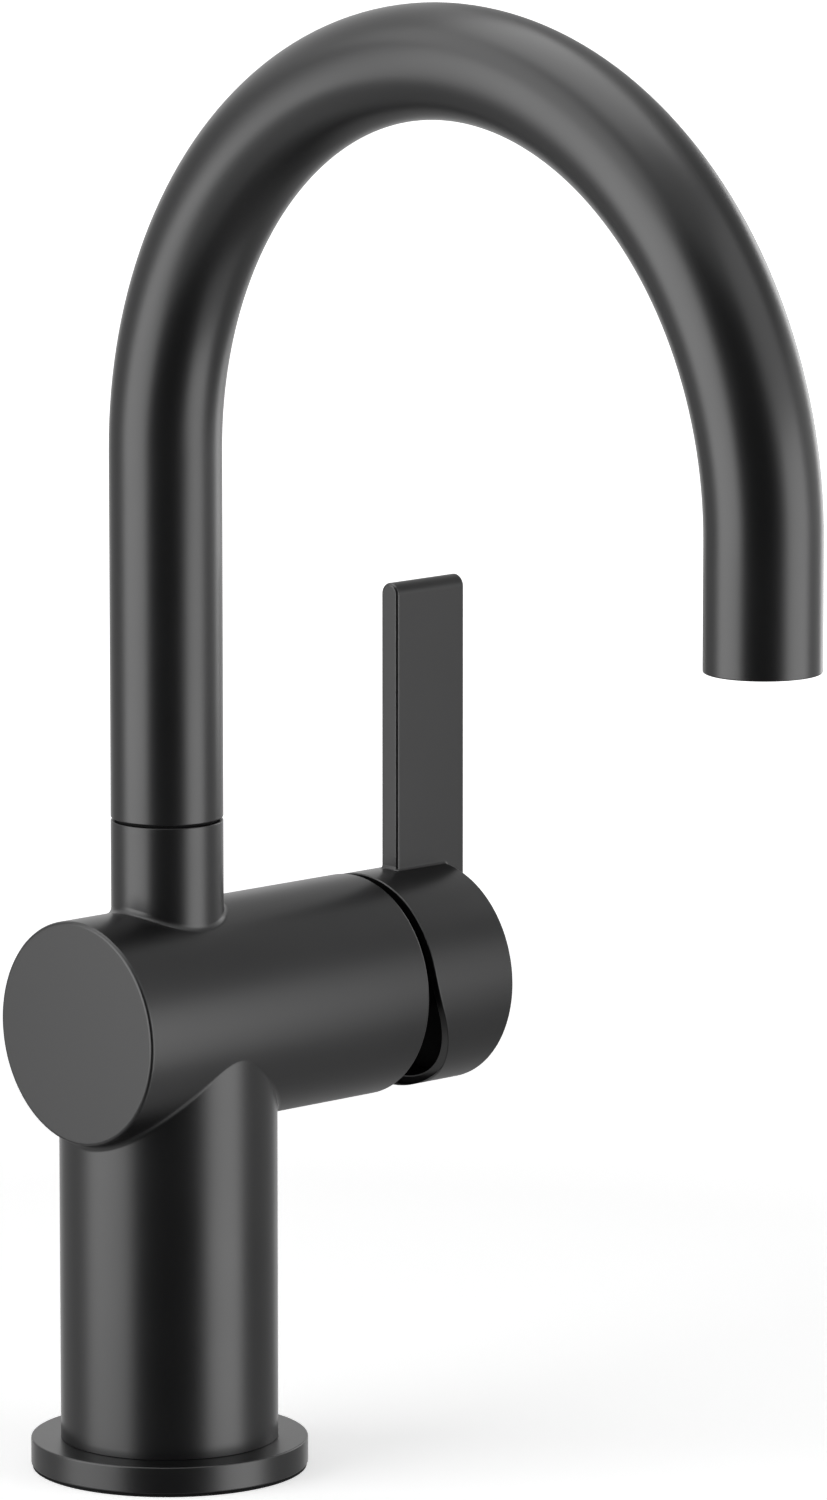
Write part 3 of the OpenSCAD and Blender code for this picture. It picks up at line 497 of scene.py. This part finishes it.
def supplyPatches(size, y, turns=96):
    # A turned socket with a real hose thread inside, and the tube up to the valve seat
    place = uprightAt(size["x"], y)
    wall = roundedProfile(
        [(size["low"], size["threadRadius"]), (size["low"], size["socket"]),
         (size["high"], size["socket"]), (size["high"], size["tube"]),
         (size["top"], size["tube"]), (size["top"], size["bore"]),
         (size["threadTop"], size["bore"]), (size["threadTop"], size["threadRadius"])],
        [0, size["edge"], size["edge"], size["shoulderEdge"], size["tubeEdge"], size["tubeEdge"],
         0, 0])
    return carried(wall, place, turns) + [thread(
        place, size["threadRadius"], size["depth"], size["pitch"], size["low"],
        size["threadTop"], inwards=True, turns=turns)]


for name, node, side in (("hotInletTube", "hot_inlet_tube", -1),
                         ("coldInletTube", "cold_inlet_tube", 1)):
    finishMesh(name, supplyPatches(supplySizes, side * supplySizes["y"]), "bare_brass", "body", node)


spoutSizes = {"radius": 12.7, "bore": 11.5, "foot": 149.8, "bendFoot": 233.1, "bend": 93.9,
              "drop": 27.8, "edge": 0.3, "innerEdge": 0.3, "bendSteps": 96}
washerSizes = {"inner": 10.8, "outer": 11.9, "low": 149.2, "high": 149.78, "edge": 0.12}


def alongSpout(s):
    # Frame of the spout's own line, by the length from its foot: straight up the riser, then the
    # bend by the angle (length past the riser) / bend radius, then straight down
    rise, bend = spoutSizes["bendFoot"] - spoutSizes["foot"], spoutSizes["bend"]
    angle = np.clip((s - rise) / bend, 0, np.pi)
    none = np.zeros_like(s)
    outward = np.stack([none, np.cos(angle), np.sin(angle)], axis=-1)
    along = np.stack([none, -np.sin(angle), np.cos(angle)], axis=-1)
    centre = np.array([0, -bend, spoutSizes["bendFoot"]]) + bend * outward
    centre = centre + (s - rise - bend * angle)[:, None] * along
    return centre, along, outward, np.outer(np.ones_like(s), (1, 0, 0))


def spoutPatches(size, turns=96):
    # The tube's wall in section, outside and inside, carried along the spout's line
    rise, arc = size["bendFoot"] - size["foot"], np.pi * size["bend"]
    total = rise + arc + size["drop"]
    stations = rise + np.linspace(0, arc, size["bendSteps"] + 1)
    corners = [(0, size["radius"]), (total, size["radius"]), (total, size["bore"]),
               (0, size["bore"]), (0, size["radius"])]
    edge, inner = size["edge"], size["innerEdge"]
    wall = roundedProfile(corners, [edge, edge, inner, inner, edge], stations)
    return carried(wall, alongSpout, turns)


def washerPatches(size):
    # A flat ring in the joint line, set back from the neck's and the tube's walls
    corners = [(size["low"], size["outer"]), (size["high"], size["outer"]),
               (size["high"], size["inner"]), (size["low"], size["inner"]),
               (size["low"], size["outer"])]
    return carried(roundedProfile(corners, [size["edge"]] * 5), uprightAt(0, 0))


finishMesh("spoutTube", spoutPatches(spoutSizes), "black_paint", "spout", "spout_tube")
finishMesh("glideWasher", washerPatches(washerSizes), "gasket_rubber", "spout", "glide_washer")


handleSizes = {
    "radius": 25.3, "inner": 23.2, "rim": 59.9, "end": 84.0, "floor": 81.5,
    "endEdge": 0.5, "rimEdge": 0.3, "rimStart": 1.6, "rimAngle": 24.8, "rimBlend": 26.0,
    "leverX": 68.6, "leverEnd": 89.9, "leverRadius": 2.7, "leverEdge": 0.7, "leverTop": 91.9,
    "leverTail": 12.0, "footFillet": 0.9,
    "bossRadius": 8.0, "bossX": 68.5, "bossSunk": 0.3, "socketHalf": 3.25, "socketEnd": 79.6,
    "plugX": 77.1, "plugRadius": 2.7, "plugEdge": 0.12, "plugDepth": 2.0, "plugBoxTurn": 14,
    "flatPoints": 5, "eighthSteps": 16, "fallSteps": 64, "tailSteps": 12, "crownPoints": 17,
    "endEdgePoints": 9, "holeSteps": 4,
}


def rimCurve(size, z, inset):
    # Side view of the rim, moved inwards by inset: upright above, then an arc of the blend radius,
    # then a line at the rim's angle. Gives the place along the barrel and the rim's slope.
    slant = np.radians(size["rimAngle"])
    tangent = size["rimBlend"] * np.tan(slant / 2)
    centreZ = size["rimStart"] + tangent
    radius = size["rimBlend"] - inset
    slope = np.arcsin(np.clip((centreZ - z) / radius, 0, np.sin(slant)))
    x = size["rim"] + size["rimBlend"] - radius * np.cos(slope)
    low = centreZ - radius * np.sin(slant)
    return x + np.maximum(low - z, 0) * np.tan(slant), slope


def leverGrid(size, x, inset, middle, across):
    # Points of the lever's outline: the middle line's height plus (half thickness - inset) times
    # the direction across it
    half = size["leverRadius"] - inset
    y, z = half * across[..., 0] + 0 * x, middle + half * across[..., 1] + 0 * x
    return np.stack([x + 0 * middle, y, z], axis=-1)


def flatTo(direction, *grid):
    # The same normal at every point of a flat patch of this many rows and columns
    return np.broadcast_to(np.array(direction, float), (*grid, 3))


def handlePatches(size):
    # One half, y from 0 up, with heights above the barrel's axis; the other half is its mirror image
    radius, edge, fillet = size["radius"], size["leverEdge"], size["footFillet"]
    half, endEdge = size["leverRadius"], size["endEdge"]
    near, far, out = size["leverX"], size["end"], size["leverEnd"]
    away, wide = radius + fillet, half + fillet
    topZ, tailZ = size["leverTop"] - half, half - size["leverTail"]
    # The box round the plug's hole, under the hub. The steps of its long sides (straight) are also
    # those of the hub's wall and of the lever's foot, so that the patches meet point by point.
    boxX = (2 * size["plugX"] - (far - endEdge), far - endEdge)
    boxMiddle, boxHalf = (boxX[0] + boxX[1]) / 2, (boxX[1] - boxX[0]) / 2
    eighth = size["eighthSteps"]
    angle = np.linspace(0, np.pi, 4 * eighth + 1)
    straight = np.sort(boxMiddle + boxHalf * squareRound(angle[eighth:3 * eighth + 1]))
    # The ball that rolls round the lever's foot: its centre, and where it touches lever and hub.
    # It goes over the near end, round its corner and along the broad side, then over the hub's
    # end edge (bend).
    y = np.linspace(0, half - edge, size["flatPoints"])
    bend = np.linspace(0, np.pi / 2, arcPoints)
    corner = bend[1:]
    cornerX, cornerY = near + edge, half - edge
    flatX = np.concatenate([near - fillet + 0 * y, cornerX - (edge + fillet) * np.cos(corner), straight])
    flatY = np.concatenate([y, cornerY + (edge + fillet) * np.sin(corner), wide + 0 * straight])
    flatZ = np.sqrt(away ** 2 - flatY ** 2)
    leverX = np.concatenate([near + 0 * y, cornerX - edge * np.cos(corner), straight])
    leverY = np.concatenate([y, cornerY + edge * np.sin(corner), half + 0 * straight])
    nearCount = len(y) + len(corner)
    centre = [np.stack([flatX, flatY, flatZ], axis=-1)]
    onLever = [np.stack([leverX, leverY, flatZ], axis=-1)]
    onHub = [centre[0] * [1, radius / away, radius / away]]
    reach = radius - endEdge + (endEdge + fillet) * np.cos(bend)
    bendZ = np.sqrt(reach ** 2 - wide ** 2)
    hubReach = (radius - endEdge + endEdge * np.cos(bend)) / reach
    bendX = far - endEdge + (endEdge + fillet) * np.sin(bend)
    centre.append(np.stack([bendX, wide + 0 * bend, bendZ], axis=-1)[1:])
    onLever.append(np.stack([bendX, half + 0 * bend, bendZ], axis=-1)[1:])
    hubEndX = far - endEdge + endEdge * np.sin(bend)
    onHub.append(np.stack([hubEndX, wide * hubReach, bendZ * hubReach], axis=-1)[1:])
    # Down the hub's end and round the tail
    fall = np.linspace(bendZ[-1], tailZ, size["fallSteps"] + 1)
    tailSwing = np.linspace(0, np.pi / 2, size["tailSteps"] + 1)[1:]
    middle = np.concatenate([fall, tailZ + 0 * tailSwing])
    swing = np.concatenate([0 * fall, tailSwing])
    across = np.stack([np.cos(swing), -np.sin(swing)], axis=-1)
    lowCentre = leverGrid(size, far + fillet, -fillet, middle, across)
    lowLever = leverGrid(size, far + fillet, 0, middle, across)
    lowHub = leverGrid(size, far, -fillet, middle, across)
    centre = np.concatenate([*centre, lowCentre[1:]])
    onLever = np.concatenate([*onLever, lowLever[1:]])
    onHub = np.concatenate([*onHub, lowHub[1:]])
    patches = [arcBetween(centre, onLever, onHub, side=-1)]

    # Lever: broad side, narrow near side, edges, round top and tail
    foot = onLever[nearCount - 1:nearCount - 1 + len(straight) + len(bend)]
    top = np.stack([foot[:, 0], foot[:, 1], 0 * foot[:, 0] + topZ], axis=-1)
    patches.append((np.stack([foot, top]), flatTo((0, 1, 0), 2, len(foot))))
    sideX = np.array([far + fillet, out - edge])
    side = np.array([[(x, half, z) for x in sideX] for z in (bendZ[-1], topZ)])
    patches.append((side, flatTo((0, 1, 0), 2, 2)))
    swingNormal = np.concatenate([0 * middle[:, None], across], axis=1)
    patches.append((np.stack([leverGrid(size, x, 0, middle, across) for x in sideX]),
                    np.stack([swingNormal, swingNormal])))
    arc = np.linspace(0, np.pi / 2, size["crownPoints"])
    over = np.stack([np.cos(arc), np.sin(arc)], axis=-1)
    topX = np.append(foot[:, 0], out - edge)
    grid = leverGrid(size, topX[:, None], 0, (0 * arc + topZ)[None], over[None])
    overNormal = np.concatenate([0 * arc[:, None], over], axis=1)
    patches.append((grid, np.broadcast_to(overNormal, grid.shape)))
    # Far end: the whole outline from the tail up, its edge and its flat face
    crown = topZ + 0 * arc
    line = np.concatenate([middle[::-1], crown])
    ways = np.concatenate([across[::-1], over])
    t = np.linspace(0, np.pi / 2, size["endEdgePoints"])[:, None]
    grid = leverGrid(size, out - edge + edge * np.sin(t), edge * (1 - np.cos(t)), line[None], ways[None])
    outward, sideways = np.sin(t)[..., None], np.cos(t)[..., None]
    patches.append((grid, np.concatenate([outward + 0 * grid[..., :1], sideways * ways], axis=-1)))
    grid = np.stack([leverGrid(size, out, inset, line, ways) for inset in (edge, half)])
    patches.append((grid, flatTo((1, 0, 0), *grid.shape[:2])))
    # Near end: the same, but only above the foot
    t = bend[:, None]
    nearZ = np.sqrt(away ** 2 - (cornerY + (edge + fillet) * np.sin(t)) ** 2)
    line = np.concatenate([nearZ, np.tile(crown, (len(t), 1))], axis=1)
    ways = np.concatenate([over[:1], over])
    grid = leverGrid(size, cornerX - edge * np.cos(t), edge * (1 - np.sin(t)), line,
                     np.broadcast_to(ways, line.shape + (2,)))
    outward, sideways = -np.cos(t)[..., None], np.sin(t)[..., None]
    patches.append((grid, np.concatenate([outward + 0 * grid[..., :1], sideways * ways], axis=-1)))
    low = np.stack([near + 0 * y, y, np.sqrt(away ** 2 - y ** 2)], axis=-1)
    high = np.stack([near + 0 * y, y, topZ + 0 * y], axis=-1)
    patches.append((np.stack([low, high]), flatTo((-1, 0, 0), 2, len(y))))
    capY, capZ = np.outer(y, np.cos(arc)), topZ + np.outer(y, np.sin(arc))
    patches.append((np.stack([near + 0 * capY, capY, capZ], axis=-1),
                    flatTo((-1, 0, 0), *capY.shape)))

    # Hub: outer wall with the plug's hole, end edge and end face. The wall's steps of turn carry on
    # over the end, where they meet the steps down the lever's tail one by one.
    start = np.arcsin(wide / away)
    box = np.radians(size["plugBoxTurn"])
    wallTurn = np.linspace(start, np.pi - box, len(middle) - eighth)
    turn = np.concatenate([wallTurn, np.linspace(np.pi - box, np.pi, eighth + 1)[1:]])
    headTurn = np.arctan2(onHub[:nearCount, 1], onHub[:nearCount, 2])
    rimTurn = np.concatenate([headTurn, turn[1:]])
    rimEdge = size["rimEdge"]
    outerX, outerSlope = rimCurve(size, (radius - rimEdge) * np.cos(rimTurn), rimEdge)
    patches.append(onBarrel(radius, np.stack([outerX[:nearCount], onHub[:nearCount, 0]]),
                            np.stack([headTurn] * 2)))
    lengths = [outerX[nearCount - 1:], 0 * turn + cornerX, 0 * turn + boxX[0]]
    patches.append(onBarrel(radius, np.stack(lengths), np.stack([turn] * 3)))
    patches.append(onBarrel(radius, *np.meshgrid(straight, wallTurn)))
    post = size["plugRadius"]
    ballCentre, onHole, onWall = saddle(post, radius, size["plugEdge"], angle, height=-1, bite=-1)
    shift = np.array([size["plugX"], 0, 0])
    holeTurn = np.arctan2(onWall[:, 1], -onWall[:, 2])
    x, holeTurn = holedPatch(onWall[:, 0] + size["plugX"], holeTurn, angle, boxX, box,
                             size["holeSteps"])
    patches.append(onBarrel(radius, x, np.pi - holeTurn))
    points, normal = arcBetween(ballCentre, onHole, onWall, side=1, count=smallArcPoints)
    patches.append((points + shift, normal))
    ring = onHole * [1, 1, 0] / post
    deep = onHole * [1, 1, 0] + [0, 0, -radius + size["plugDepth"]]
    patches.append((np.stack([onHole, deep]) + shift, np.stack([-ring, -ring])))
    patches.append((np.stack([deep, deep * [0, 0, 1]]) + shift, flatTo((0, 0, -1), 2, len(deep))))
    begin = np.arcsin(wide / reach)[:, None]
    endTurn = np.pi - (np.pi - turn) * (np.pi - begin) / (np.pi - start)
    ring = np.stack([0 * endTurn, np.sin(endTurn), np.cos(endTurn)], axis=-1)
    hubEndRadius = (radius - endEdge + endEdge * np.cos(bend))[:, None, None]
    alongX = np.array([1, 0, 0])
    points = hubEndRadius * ring + hubEndX[:, None, None] * alongX
    normal = np.cos(bend)[:, None, None] * ring + np.sin(bend)[:, None, None] * alongX
    patches.append((points, normal))
    patches.append((np.stack([points[-1], lowHub]), flatTo((1, 0, 0), 2, len(lowHub))))

    # Rim: outer edge, cut face, inner edge, then the inside of the hub
    inner = size["inner"]
    innerX, innerSlope = rimCurve(size, (inner + rimEdge) * np.cos(rimTurn), rimEdge)
    zero = 0 * rimTurn
    way = [np.stack([-np.cos(slope), zero, -np.sin(slope)], axis=-1)
           for slope in (outerSlope, innerSlope)]
    outerCentre = onBarrel(radius - rimEdge, outerX, rimTurn)[0]
    innerCentre = onBarrel(inner + rimEdge, innerX, rimTurn)[0]
    outerFace, innerFace = outerCentre + rimEdge * way[0], innerCentre + rimEdge * way[1]
    outerWall, innerWall = onBarrel(radius, outerX, rimTurn)[0], onBarrel(inner, innerX, rimTurn)[0]
    patches.append(arcBetween(outerCentre, outerWall, outerFace, side=1, count=smallArcPoints))
    patches.append((np.stack([outerFace, innerFace]), np.stack(way)))
    patches.append(arcBetween(innerCentre, innerFace, innerWall, side=1, count=smallArcPoints))
    points, ring = onBarrel(inner, np.stack([innerX, zero + size["floor"]]), np.stack([rimTurn] * 2))
    # The hub's inside wall and floor take the matt finish that paints their shade
    shadedInside = [(points, -ring)]
    floorMiddle = points[1] * [1, 0, 0]
    shadedInside.append((np.stack([points[1], floorMiddle]), flatTo((-1, 0, 0), 2, len(zero))))
    return lifted(patches + mirrored(patches)), lifted(shadedInside + mirrored(shadedInside))


def bossPatches(size, turns=64):
    # The boss inside the hub, round outside, with the stem's square socket. It ends a little inside
    # the hub's end wall.
    turn = np.linspace(0, 2 * np.pi, turns + 1)
    end = size["floor"] + size["bossSunk"]
    boss = roundedProfile([(size["bossX"], size["bossRadius"]), (end, size["bossRadius"]), (end, 0)],
                          [0, 0, 0])
    patches = carried(boss, alongBarrel, turns)
    circle = onBarrel(size["bossRadius"], size["bossX"] + 0 * turn, turn)[0]
    square = np.stack([0 * turn, squareRound(turn - np.pi / 2), squareRound(turn)], axis=-1)
    mouth, deep = [square * size["socketHalf"] + np.array([x, 0, 0])
                   for x in (size["bossX"], size["socketEnd"])]
    flat = flatTo((-1, 0, 0), 2, len(turn))
    patches += lifted([(np.stack([circle, mouth]), flat), (np.stack([deep, deep * [1, 0, 0]]), flat)])
    # The socket's four walls. Each takes a quarter of the turn, and the first starts at an eighth
    # of it, where the square has its first corner.
    quarter = np.arange(turns // 4 + 1)
    for k, inward in enumerate([(0, -1, 0), (0, 0, 1), (0, 1, 0), (0, 0, -1)]):
        part = (turns // 8 + turns // 4 * k + quarter) % turns
        patches += lifted([(np.stack([mouth[part], deep[part]]), flatTo(inward, 2, len(part)))])
    return patches


painted, shadedInside = handlePatches(handleSizes)
finishMesh("handle", painted, "black_paint", "handle", "handle",
           shadedInside=shadedInside + bossPatches(handleSizes))

# The other nodes keep their CAD meshes and get the finish of their material slot. Parts that are
# turned about the barrel's axis have their rings along X.
lying = {"stem": "turnedBrassLying"}
for part in frame["record"]["subparts"]:
    if part["node"] not in replaced:
        look = lying.get(part["node"], slotLooks[part["material_slot"]])
        node = frame["nodes"][part["node"]]
        node.data.materials.clear()
        node.data.materials.append(materials[look])
print("finishes set")

# The photograph's camera, fitted to the outlines: metres, degrees and millimetres of lens. Yaw is
# counted from +Y to +X, and pitch downwards.
camera = {"place": (-1.4689, -1.6351, 0.5471), "yaw": 43.381, "pitch": 9.867, "lens": 238.14}
studio = {
    "worldLevel": 0.35,
    "aim": (0, -0.05, 0.15),
    # Spans are in degrees, distances in metres. Azimuths are counted from the camera to its
    # right, elevations from level.
    # Mirror rays go through a lamp, so its radiance is added to the white surroundings behind it.
    "lamps": {
        "leftBox": {"azimuth": (-93, -40), "elevation": (-20, 32), "away": 1.2, "radiance": 3.5},
        "rightBox": {"azimuth": (44, 84), "elevation": (-34, 20), "away": 0.68, "radiance": 3.2},
    },
    # Cards that only mirror rays see: the dark room behind the camera, grey walls and floor, and
    # pale panels beside, above and behind the faucet
    "cards": {
        "frontCard": {"azimuth": (-38, 35), "elevation": (-60, 45), "away": 1.3, "glow": 0.05},
        "leftCard": {"azimuth": (-150, -103), "elevation": (-60, 20), "away": 1.2, "glow": 0.5},
        "leftHighCard": {"azimuth": (-106, -46), "elevation": (33, 56), "away": 1.4, "glow": 2.8},
        "leftLowCard": {"azimuth": (-100, -42), "elevation": (-60, -21), "away": 1.25, "glow": 0.9},
        "rightCard": {"azimuth": (89, 150), "elevation": (-60, -9), "away": 1.2, "glow": 0.42},
        "rightHighCard": {"azimuth": (44, 82), "elevation": (21, 56), "away": 0.9, "glow": 1.8},
        "rightLowCard": {"azimuth": (43, 86), "elevation": (-62, -35), "away": 0.9, "glow": 1.2},
        "backCard": {"azimuth": (92, 139), "elevation": (22, 54), "away": 1.3, "glow": 0.45},
        "backHighCard": {"azimuth": (140, 180), "elevation": (16, 52), "away": 1.35, "glow": 0.62},
        "backLowCard": {"azimuth": (151, 208), "elevation": (-56, -22), "away": 1.3, "glow": 0.45},
        "rimCard": {"azimuth": (126, 147), "elevation": (-8, 30), "away": 0.5, "glow": 3.0},
        "topCard": {"azimuth": (-172, -124), "elevation": (57, 103), "away": 1.3, "glow": 3.7},
        "lowCard": {"azimuth": (-48, 48), "elevation": (-133, -47), "away": 1.4, "glow": 0.35},
    },
    # The floor's own glow, seen by the camera only, is low near the faucet, where its shadow
    # falls, and white further out
    "floorColour": "#f2f2f2", "floorRadius": 5.0, "floorSides": 64, "glowNear": 0.52, "glowFar": 1.0,
    "nearReach": 0.3, "farReach": 1.0,
}

lens = bpy.data.cameras.new("camera")
lens.lens = camera["lens"]
viewer = bpy.data.objects.new("camera", lens)
viewer.location = camera["place"]
viewer.rotation_euler = (radians(90 - camera["pitch"]), 0, radians(-camera["yaw"]))
bpy.context.scene.collection.objects.link(viewer)
bpy.context.scene.camera = viewer
bpy.context.scene.view_settings.view_transform = "Standard"

world = bpy.data.worlds.new("studio")
bpy.context.scene.world = world
world.use_nodes = True
tree = world.node_tree
tree.nodes.clear()
# White for what the camera sees, straight or in a mirror or through glass, but only the world's
# level as light on matt surfaces
path = addNode(tree, "ShaderNodeLightPath").outputs
seen = addNode(tree, "ShaderNodeMath", {"operation": "MAXIMUM"},
               {0: path["Is Camera Ray"], 1: path["Is Glossy Ray"]})
seen = addNode(tree, "ShaderNodeMath", {"operation": "MAXIMUM"},
               {0: seen.outputs[0], 1: path["Is Transmission Ray"]})
level = addNode(tree, "ShaderNodeMix", {"data_type": "FLOAT"},
                {"Factor": seen.outputs[0], "A": studio["worldLevel"], "B": 1.0})
background = addNode(tree, "ShaderNodeBackground", None,
                     {"Color": (1, 1, 1, 1), "Strength": level.outputs["Result"]})
addNode(tree, "ShaderNodeOutputWorld", None, {"Surface": background.outputs["Background"]})


def stagePlane(name, corners, material):
    # A flat face of the studio, which isn't part of the object
    mesh = bpy.data.meshes.new(name)
    mesh.from_pydata([tuple(c) for c in corners], [], [tuple(range(len(corners)))])
    mesh.materials.append(material)
    piece = bpy.data.objects.new(name, mesh)
    bpy.context.scene.collection.objects.link(piece)
    return piece


def facing(setup):
    # A flat panel that faces the aim: its centre, its half width and half height as vectors, and
    # its rotation. Each half is away * tan(half its span).
    turn = radians(camera["yaw"] + 180 - np.mean(setup["azimuth"]))
    rise = radians(np.mean(setup["elevation"]))
    away = np.array([np.sin(turn) * np.cos(rise), np.cos(turn) * np.cos(rise), np.sin(rise)])
    across = np.array([np.cos(turn), -np.sin(turn), 0])
    wide, high = [setup["away"] * np.tan(radians(np.ptp(setup[key]) / 2))
                  for key in ("azimuth", "elevation")]
    return (np.array(studio["aim"]) + setup["away"] * away, wide * across,
            high * np.cross(across, away), (np.pi / 2 - rise, 0, np.pi - turn))


def matMaterial(name, colour, nearGlow, farGlow, seenBy):
    # Matt colour, plus a white glow for one kind of ray. The glow goes from its near value to its
    # far one with the distance from the origin, at the foot of the column's axis.
    material = bpy.data.materials.new(name)
    material.use_nodes = True
    tree = material.node_tree
    tree.nodes.clear()
    matt = addNode(tree, "ShaderNodeBsdfDiffuse", None, {"Color": hexColour(colour)})
    path = addNode(tree, "ShaderNodeLightPath").outputs
    place = addNode(tree, "ShaderNodeTexCoord").outputs["Object"]
    distance = addNode(tree, "ShaderNodeVectorMath", {"operation": "LENGTH"}, {0: place})
    glow = addNode(tree, "ShaderNodeMapRange", None, {
        "Value": distance.outputs["Value"], "From Min": studio["nearReach"], "To Min": nearGlow,
        "From Max": studio["farReach"], "To Max": farGlow})
    strength = addNode(tree, "ShaderNodeMath", {"operation": "MULTIPLY"},
                       {0: path[seenBy], 1: glow.outputs["Result"]})
    glowing = addNode(tree, "ShaderNodeEmission", None, {"Strength": strength.outputs[0]})
    both = addNode(tree, "ShaderNodeAddShader", None, {0: matt.outputs[0], 1: glowing.outputs[0]})
    addNode(tree, "ShaderNodeOutputMaterial", None, {"Surface": both.outputs[0]})
    return material


for name, setup in studio["lamps"].items():
    centre, wide, high, rotation = facing(setup)
    lamp = bpy.data.lights.new(name, "AREA")
    lamp.shape = "RECTANGLE"
    lamp.size, lamp.size_y = 2 * np.linalg.norm(wide), 2 * np.linalg.norm(high)
    lamp.energy = setup["radiance"] * np.pi * lamp.size * lamp.size_y    # radiance * pi * area
    piece = bpy.data.objects.new(name, lamp)
    piece.location, piece.rotation_euler = centre, rotation
    piece.visible_camera = False
    bpy.context.scene.collection.objects.link(piece)
for name, setup in studio["cards"].items():
    centre, wide, high, rotation = facing(setup)
    card = stagePlane(name, [centre - wide - high, centre + wide - high, centre + wide + high,
                             centre - wide + high],
                      matMaterial(name, "#000000", setup["glow"], setup["glow"], "Is Glossy Ray"))
    card.visible_camera = card.visible_diffuse = card.visible_shadow = False
around = np.linspace(0, 2 * np.pi, studio["floorSides"], endpoint=False)
rim = studio["floorRadius"] * np.stack([np.cos(around), np.sin(around), 0 * around], axis=1)
floor = stagePlane("floor", rim, matMaterial("paleFloor", studio["floorColour"], studio["glowNear"],
                                             studio["glowFar"], "Is Camera Ray"))
floor.visible_glossy = floor.visible_shadow = False
print("studio set")
